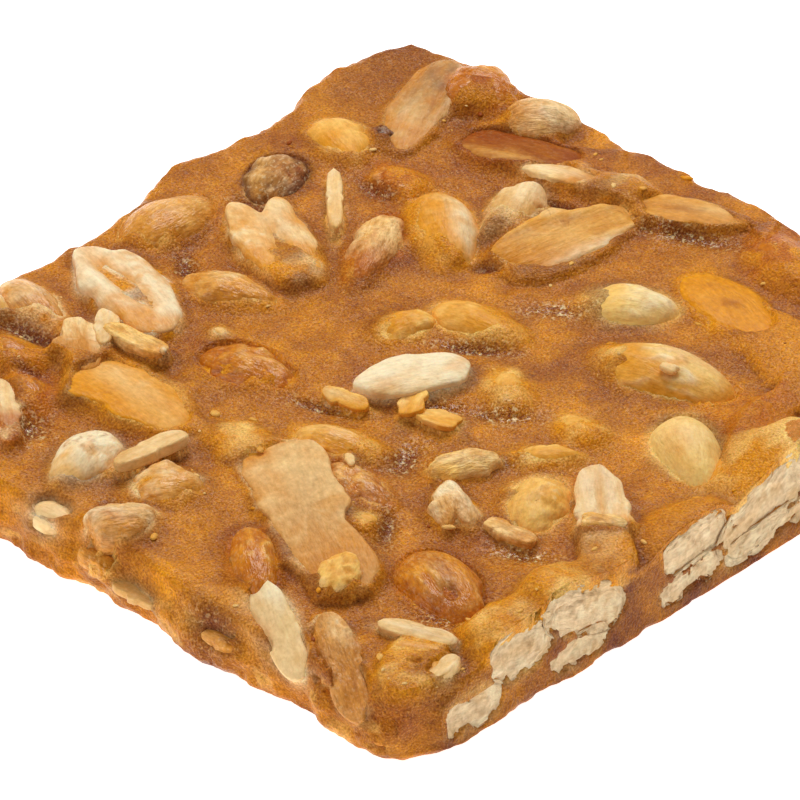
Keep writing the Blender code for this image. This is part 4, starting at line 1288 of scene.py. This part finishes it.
flakes = add_mesh("nut_flakes", flake_points.reshape(-1, 3), (quads[None] + offset).reshape(-1, 4),
                  (caps[None] + offset).reshape(-1, 3),
                  {"shade": tone, "soak": 0.5 + 0.0 * pick,
                   "lengthwise": flake_points.reshape(-1, 3)})
print(FLAKES, "flakes,", len(flakes.data.polygons), "faces")

# %% [markdown]
# ## Finishes
# Three effects are shared as node groups: a drift of value that also deepens the darker
# places, a fine grain that becomes a bump, and light and dark specks, the light ones partly
# pale grain and partly painted glints, the dark ones grain. Each material feeds them its
# own sizes and strengths, and keeps its own shader.

# %% Shared node groups
def new_group(name, gives, kind, colours, numbers):
    """Shader group that reads a Vector, colours and numbers and gives one output.

    It comes back with its inputs by name and the socket that its output goes into.
    """
    group = bpy.data.node_groups.new(name, "ShaderNodeTree")
    for socket, labels in (("Vector", ["Vector"]), ("Color", colours), ("Float", numbers)):
        for label in labels:
            group.interface.new_socket(label, in_out="INPUT", socket_type="NodeSocket" + socket)
    group.interface.new_socket(gives, in_out="OUTPUT", socket_type="NodeSocket" + kind)
    inside = group.nodes.new("NodeGroupInput").outputs
    return group, inside, group.nodes.new("NodeGroupOutput").inputs[gives]


def feed(tree, socket, given):
    """Give an input a number, a plain colour or another node's output."""
    if isinstance(given, np.ndarray):
        given = (*given, 1.0)
    if isinstance(given, (int, float, tuple)):
        socket.default_value = given
    else:
        tree.links.new(given, socket)


def set_inputs(tree, node, **values):
    """Feed a node's inputs by name; spaces in the names are written as _."""
    for label, given in values.items():
        feed(tree, node.inputs[label.replace("_", " ")], given)
    return node


def noise_value(tree, vector, scale, detail, roughness=0.55):
    """Value of a Noise Texture reading a vector, its scale a number or a socket."""
    node = set_inputs(tree, tree.nodes.new("ShaderNodeTexNoise"), Vector=vector, Scale=scale,
                      Detail=detail, Roughness=roughness)
    return node.outputs["Fac"]


def math_node(tree, operation, *values):
    """Math node of two or three numbers or sockets."""
    node = tree.nodes.new("ShaderNodeMath")
    node.operation = operation
    for socket, given in zip(node.inputs, values):
        feed(tree, socket, given)
    return node.outputs["Value"]


def scaled(tree, value, factor, offset):
    """Value times a factor, plus an offset."""
    return math_node(tree, "MULTIPLY_ADD", value, factor, offset)


def step_node(tree, value, low, high):
    """Smooth step of a value from 0 at low to 1 at high."""
    node = tree.nodes.new("ShaderNodeMapRange")
    node.interpolation_type = "SMOOTHSTEP"
    set_inputs(tree, node, Value=value, From_Min=low, From_Max=high)
    return node.outputs["Result"]


def mix_colour(tree, factor, a, b):
    """Colour mix; a and b are sockets or plain colours."""
    node = tree.nodes.new("ShaderNodeMix")
    node.data_type = "RGBA"
    node.clamp_factor = True
    for place, given in ((0, factor), (6, a), (7, b)):
        feed(tree, node.inputs[place], given)
    return node.outputs[2]


colour_drift, given, result = new_group(
    "colour_drift", "Colour", "Color", ["Colour"], ["Scale", "Strength"])
drift = noise_value(colour_drift, given["Vector"], given["Scale"], 4.0, 0.6)
swing = math_node(colour_drift, "SUBTRACT", drift, 0.5)
swing = scaled(colour_drift, swing, given["Strength"], 1.0)
value = set_inputs(colour_drift, colour_drift.nodes.new("ShaderNodeHueSaturation"),
                   Color=given["Colour"], Value=swing)
deepen = set_inputs(colour_drift, colour_drift.nodes.new("ShaderNodeGamma"),
                    Color=value.outputs["Color"], Gamma=scaled(colour_drift, swing, -0.5, 1.5))
colour_drift.links.new(deepen.outputs["Color"], result)

fine_grain, given, result = new_group(
    "fine_grain", "Height", "Float", [], ["Coarse Scale", "Fine Scale", "Fine Share"])
coarse = noise_value(fine_grain, given["Vector"], given["Coarse Scale"], 2.0)
fine = noise_value(fine_grain, given["Vector"], given["Fine Scale"], 1.0)
fine_grain.links.new(scaled(fine_grain, fine, given["Fine Share"], coarse), result)

# Light and dark specks: the light ones are pale grain, and where they are near white they are
# painted glints.
glint_and_grain_specks, given, result = new_group(
    "glint_and_grain_specks", "Colour", "Color", ["Colour", "Light", "Dark"], ["Scale", "Amount"])
grit = noise_value(glint_and_grain_specks, given["Vector"], given["Scale"], 2.0)
speckled = given["Colour"]
for speck, low, high in (("Light", 0.53, 0.70), ("Dark", 0.47, 0.30)):
    share = step_node(glint_and_grain_specks, grit, low, high)
    share = math_node(glint_and_grain_specks, "MULTIPLY", share, given["Amount"])
    speckled = mix_colour(glint_and_grain_specks, share, speckled, given[speck])
glint_and_grain_specks.links.new(speckled, result)
print("groups:", colour_drift.name, fine_grain.name, glint_and_grain_specks.name)


# %% Material helpers
def new_material(name):
    """New material, its node tree, its Principled shader and the object coordinates."""
    made = bpy.data.materials.new(name)
    made.use_nodes = True
    tree = made.node_tree
    coordinates = tree.nodes.new("ShaderNodeTexCoord").outputs["Object"]
    return made, tree, tree.nodes["Principled BSDF"], coordinates


def place_group(tree, group, **values):
    """First output of a shared group whose inputs are fed by name."""
    node = tree.nodes.new("ShaderNodeGroup")
    node.node_tree = group
    return set_inputs(tree, node, **values).outputs[0]


def read_attribute(tree, name, output="Fac"):
    """Output of an Attribute node that reads one of the mesh's own attributes."""
    node = tree.nodes.new("ShaderNodeAttribute")
    node.attribute_name = name
    return node.outputs[output]


def bump(tree, height, strength, distance):
    """Normal from a Bump node of some height, strength and distance in metres."""
    node = set_inputs(tree, tree.nodes.new("ShaderNodeBump"), Height=height,
                      Strength=strength, Distance=distance)
    return node.outputs["Normal"]


# %% Caramel
made, tree, shader, place = new_material("caramel_glaze")
clouds = scaled(tree, noise_value(tree, place, 110.0, 3.0), 2.2, -0.6)
base = mix_colour(tree, clouds, paint(152, 76, 4), paint(234, 148, 8))
streaks = scaled(tree, noise_value(tree, place, 260.0, 4.0), 3.0, -1.35)
base = mix_colour(tree, math_node(tree, "MULTIPLY", streaks, 0.4), base, paint(160, 92, 50))
# Painted shade: caramel lying lower than its blurred surroundings is darkened.
recess_shade = math_node(tree, "MULTIPLY", read_attribute(tree, "crest"), -1.2)
base = mix_colour(tree, recess_shade, base, paint(134, 68, 22))
show_share, frost_and_glint_share = read_attribute(tree, "show"), read_attribute(tree, "frost")
seen = mix_colour(tree, show_share, base, read_attribute(tree, "under", "Color"))
# The painted shade and darker places of the skin, mixed towards one dark brown.
seen = mix_colour(tree, read_attribute(tree, "dark"), seen, paint(118, 52, 16))
for scale, strength in ((700.0, 0.4), (3400.0, 1.4)):
    seen = place_group(tree, colour_drift, Vector=place, Colour=seen, Scale=scale,
                       Strength=strength)
# Pale and dark grain specks all over, more of them in the frost; then, in the frost, near-white
# specks as painted glints.
amount = math_node(tree, "MULTIPLY", scaled(tree, frost_and_glint_share, 0.4, 0.3),
                   scaled(tree, show_share, -0.7, 1.0))
for light, dark_speck, scale, given in (
        (paint(236, 176, 88), paint(112, 52, 12), 4200.0, amount),
        (paint(255, 228, 170), paint(132, 56, 12), 1700.0, frost_and_glint_share)):
    seen = place_group(tree, glint_and_grain_specks, Vector=place, Colour=seen, Light=light,
                       Dark=dark_speck, Scale=scale, Amount=given)
grain = place_group(tree, fine_grain, Vector=place, Coarse_Scale=1100.0, Fine_Scale=3400.0,
                    Fine_Share=0.8)
glint = step_node(tree, noise_value(tree, place, 2600.0, 2.0), 0.5, 0.62)
set_inputs(tree, shader, Base_Color=seen,
           Normal=bump(tree, grain, scaled(tree, frost_and_glint_share, 0.4, 0.6), 0.0004),
           Roughness=scaled(tree, frost_and_glint_share, -0.12, 0.34), IOR=1.45, Specular_IOR_Level=0.14,
           Coat_Weight=math_node(tree, "MULTIPLY", scaled(tree, frost_and_glint_share, 0.5, 0.09), glint),
           Coat_Roughness=0.16, Subsurface_Weight=0.2, Subsurface_Radius=(1.0, 0.4, 0.12),
           Subsurface_Scale=MM)
caramel.data.materials.append(made)

# %% Nuts, one material for each finish
NutFinish = namedtuple("NutFinish", "rough wet_rough relief drift glow specks shine fibre")
NUT_FINISHES = {
    "pale_nut": NutFinish(0.5, 0.34, 0.4, 0.35, 0.15, 0.12, 0.14, 0.5),
    "golden_nut": NutFinish(0.46, 0.3, 0.4, 0.5, 0.15, 0.04, 0.08, 0.5),
    "amber_nut": NutFinish(0.34, 0.24, 0.6, 0.6, 0.15, 0.14, 0.25, 0.8),
    "dark_nut": NutFinish(0.3, 0.24, 0.7, 0.8, 0.1, 0.25, 0.3, 1.0),
    "scorched_nut": NutFinish(0.6, 0.4, 0.7, 0.8, 0.05, 0.35, 0.2, 1.0),
    "crusted_nut": NutFinish(0.5, 0.34, 0.8, 0.7, 0.1, 0.18, 0.16, 1.0),
    "nut_slice": NutFinish(0.46, 0.32, 0.4, 0.45, 0.15, 0.06, 0.07, 0.5),
    "cut_nut": NutFinish(0.7, 0.4, 0.6, 0.45, 0.1, 0.15, 0.12, 0.5),
}
nut_materials = {}
for finish, f in NUT_FINISHES.items():
    made, tree, shader, place = new_material(finish + "_skin")
    lengthwise = set_inputs(tree, tree.nodes.new("ShaderNodeMapping"),
                            Vector=read_attribute(tree, "lengthwise", "Vector"),
                            Scale=(0.0003, 0.001, 0.001)).outputs["Vector"]
    seen = place_group(tree, colour_drift, Vector=place,
                       Colour=read_attribute(tree, "shade", "Color"), Scale=1500.0,
                       Strength=f.drift)
    seen = place_group(tree, colour_drift, Vector=lengthwise, Colour=seen, Scale=1900.0,
                       Strength=f.fibre)
    # Pale specks on the nut skins are partly painted glints; the dark ones are grain.
    seen = place_group(tree, glint_and_grain_specks, Vector=place, Colour=seen,
                       Light=paint(255, 232, 184), Dark=paint(184, 116, 48), Scale=2100.0,
                       Amount=f.specks)
    grain = place_group(tree, fine_grain, Vector=lengthwise, Coarse_Scale=1500.0,
                        Fine_Scale=4200.0, Fine_Share=0.6)
    gloss = scaled(tree, read_attribute(tree, "soak"), f.wet_rough - f.rough, f.rough)
    set_inputs(tree, shader, Base_Color=seen, Normal=bump(tree, grain, f.relief, 0.0003),
               Roughness=gloss, Specular_IOR_Level=f.shine, Subsurface_Weight=f.glow,
               Subsurface_Radius=(1.0, 0.5, 0.25), Subsurface_Scale=MM)
    nut_materials[finish] = made
for name, piece in made_nuts.items():
    piece.data.materials.append(nut_materials[slot_of[name]])
for kind, piece in made_bits.items():
    piece.data.materials.append(nut_materials[BIT_KINDS[kind][0]])
flakes.data.materials.append(nut_materials["golden_nut"])
print(len(nut_materials) + 1, "materials")

# %% [markdown]
# ## Sizes
# The new pieces have to fill the same box as the imported model, so how much the visual
# box grows on each side is printed.

# %% Compare the boxes
low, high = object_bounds()
print("visual box grows by", [round(1000 * (a - b), 2) for a, b in zip(low, cad_low)],
      [round(1000 * (a - b), 2) for a, b in zip(high, cad_high)], "mm")
